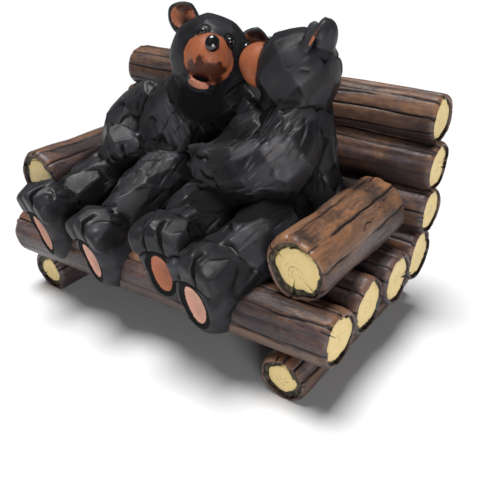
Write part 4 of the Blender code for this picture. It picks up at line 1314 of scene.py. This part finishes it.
def addFace(bear):  # glossy nose and eyes as pieces of their own
    (left, back, up), sizes = headForms["nose"]
    addGloss(bear, "nose", left, back * bear.muzzle, up, sizes)
    (left, back, up), sizes = headForms["eye"]
    for sign, side in ((-1, "right"), (1, "left")):
        addGloss(bear, "eye_" + side, sign * left + headForms["eyeShift"], back, up, sizes)


left = poseBear(leftPose)
right = poseBear(rightPose)
leftPiece = carveBear(left, 7)
carveBear(right, 8)
addFace(left)
addFace(right)
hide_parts("bear_figurine")  # this piece and those that ride beside it stand for the one casting
print("bears done")


# Floor, light and camera
studio = {
    "floorColour": (0.86, 0.86, 0.87),
    "floorMottle": 0.99,
    "floorHalf": 3.0,
    "sunStrength": 3.7,
    "sunSpread": 0.50,  # radians, for soft shadows
    "sunFrom": (-0.16, 0.04, 1.0),
    "fillPower": 1.55,
    "fillSize": 0.22,
    "fillPlace": (0.43, -0.35, 0.10),
    "aim": (0.0, 0.0, 0.03),
    "world": 0.05,
    "backdrop": 0.95,  # the world's own brightness behind the floor
}
viewpoint = {
    "place": (0.10546, -0.1130, 0.10244),
    "azimuth": 34.63,
    "pitch": 34.21,
    "roll": 0.54,
    "focalPixels": 575.0,
    "axisPixel": (290.13, 290.12),
    "image": (495, 500),
}


def floorMaterial():
    material, paint, place = startMaterial("paleFloor", 0.0, 0.3, 0.2)
    darker = [studio["floorMottle"] * c for c in studio["floorColour"]]
    tone = paint.mix(paint.blotch(place, 40.0, 0.0, 1.0), studio["floorColour"], darker)
    sockets = paint.tree.nodes["Principled BSDF"].inputs
    paint.tree.links.new(tone, sockets["Base Color"])
    sockets["Roughness"].default_value = 0.8
    return material


def addFloor():
    size = studio["floorHalf"]
    ticks = np.linspace(-size, size, 9)
    x, y = np.meshgrid(ticks, ticks, indexing="ij")
    points = np.stack([x, y, np.zeros_like(x)], -1).reshape(-1, 3)
    i, j = np.meshgrid(np.arange(8), np.arange(8), indexing="ij")
    corner = i * 9 + j
    quads = np.stack([corner, corner + 9, corner + 10, corner + 1], -1).reshape(-1, 4)
    floor = buildMesh("floor", points, [quads], floorMaterial())


def addLight(name, kind, place, size, power):  # shines from its place towards the middle of the object
    lamp = bpy.data.lights.new(name, kind)
    if kind == "SUN":
        lamp.angle = size
    else:
        lamp.size = size
    lamp.energy = power
    light = bpy.data.objects.new(name, lamp)
    light.location = place
    back = unit(np.array(place) - studio["aim"])
    right = unit(np.cross([0, 1, 0.01], back))
    up = np.cross(back, right)
    light.rotation_euler = Matrix(np.stack([right, up, back], 1).tolist()).to_euler()
    bpy.context.scene.collection.objects.link(light)


def addCamera():
    az, pitch, roll = np.radians([viewpoint["azimuth"], viewpoint["pitch"], viewpoint["roll"]])
    level = np.array([-np.sin(az), np.cos(az), 0.0])
    across = np.array([np.cos(az), np.sin(az), 0.0])
    forward = level * np.cos(pitch) - upward * np.sin(pitch)
    above = level * np.sin(pitch) + upward * np.cos(pitch)
    right = across * np.cos(roll) - above * np.sin(roll)
    up = across * np.sin(roll) + above * np.cos(roll)
    data = bpy.data.cameras.new("camera")
    width, height = viewpoint["image"]
    longSide = max(width, height)
    data.sensor_width = 36.0
    data.lens = data.sensor_width * viewpoint["focalPixels"] / longSide
    data.shift_x = (width / 2 - viewpoint["axisPixel"][0]) / longSide
    data.shift_y = (viewpoint["axisPixel"][1] - height / 2) / longSide
    data.clip_start, data.clip_end = 0.005, 20.0
    camera = bpy.data.objects.new("camera", data)
    turn = Matrix(np.stack([right, up, -forward], 1).tolist()).to_4x4()
    camera.matrix_world = Matrix.Translation(viewpoint["place"]) @ turn
    bpy.context.scene.collection.objects.link(camera)
    bpy.context.scene.camera = camera


addFloor()
addLight("key", "SUN", studio["sunFrom"], studio["sunSpread"], studio["sunStrength"])
addLight("fill", "AREA", studio["fillPlace"], studio["fillSize"], studio["fillPower"])
world = bpy.data.worlds.new("studio")
world.use_nodes = True
paint = Paint(world.node_tree)
background = paint.tree.nodes["Background"].inputs
background["Color"].default_value = (1, 1, 1, 1)
seen = paint.node("LightPath", {}, "Is Camera Ray")
glow = paint.math("MULTIPLY_ADD", seen, studio["backdrop"] - studio["world"], studio["world"])
paint.tree.links.new(glow, background["Strength"])
bpy.context.scene.world = world
bpy.context.scene.view_settings.view_transform = "Standard"
addCamera()
print("studio ready")
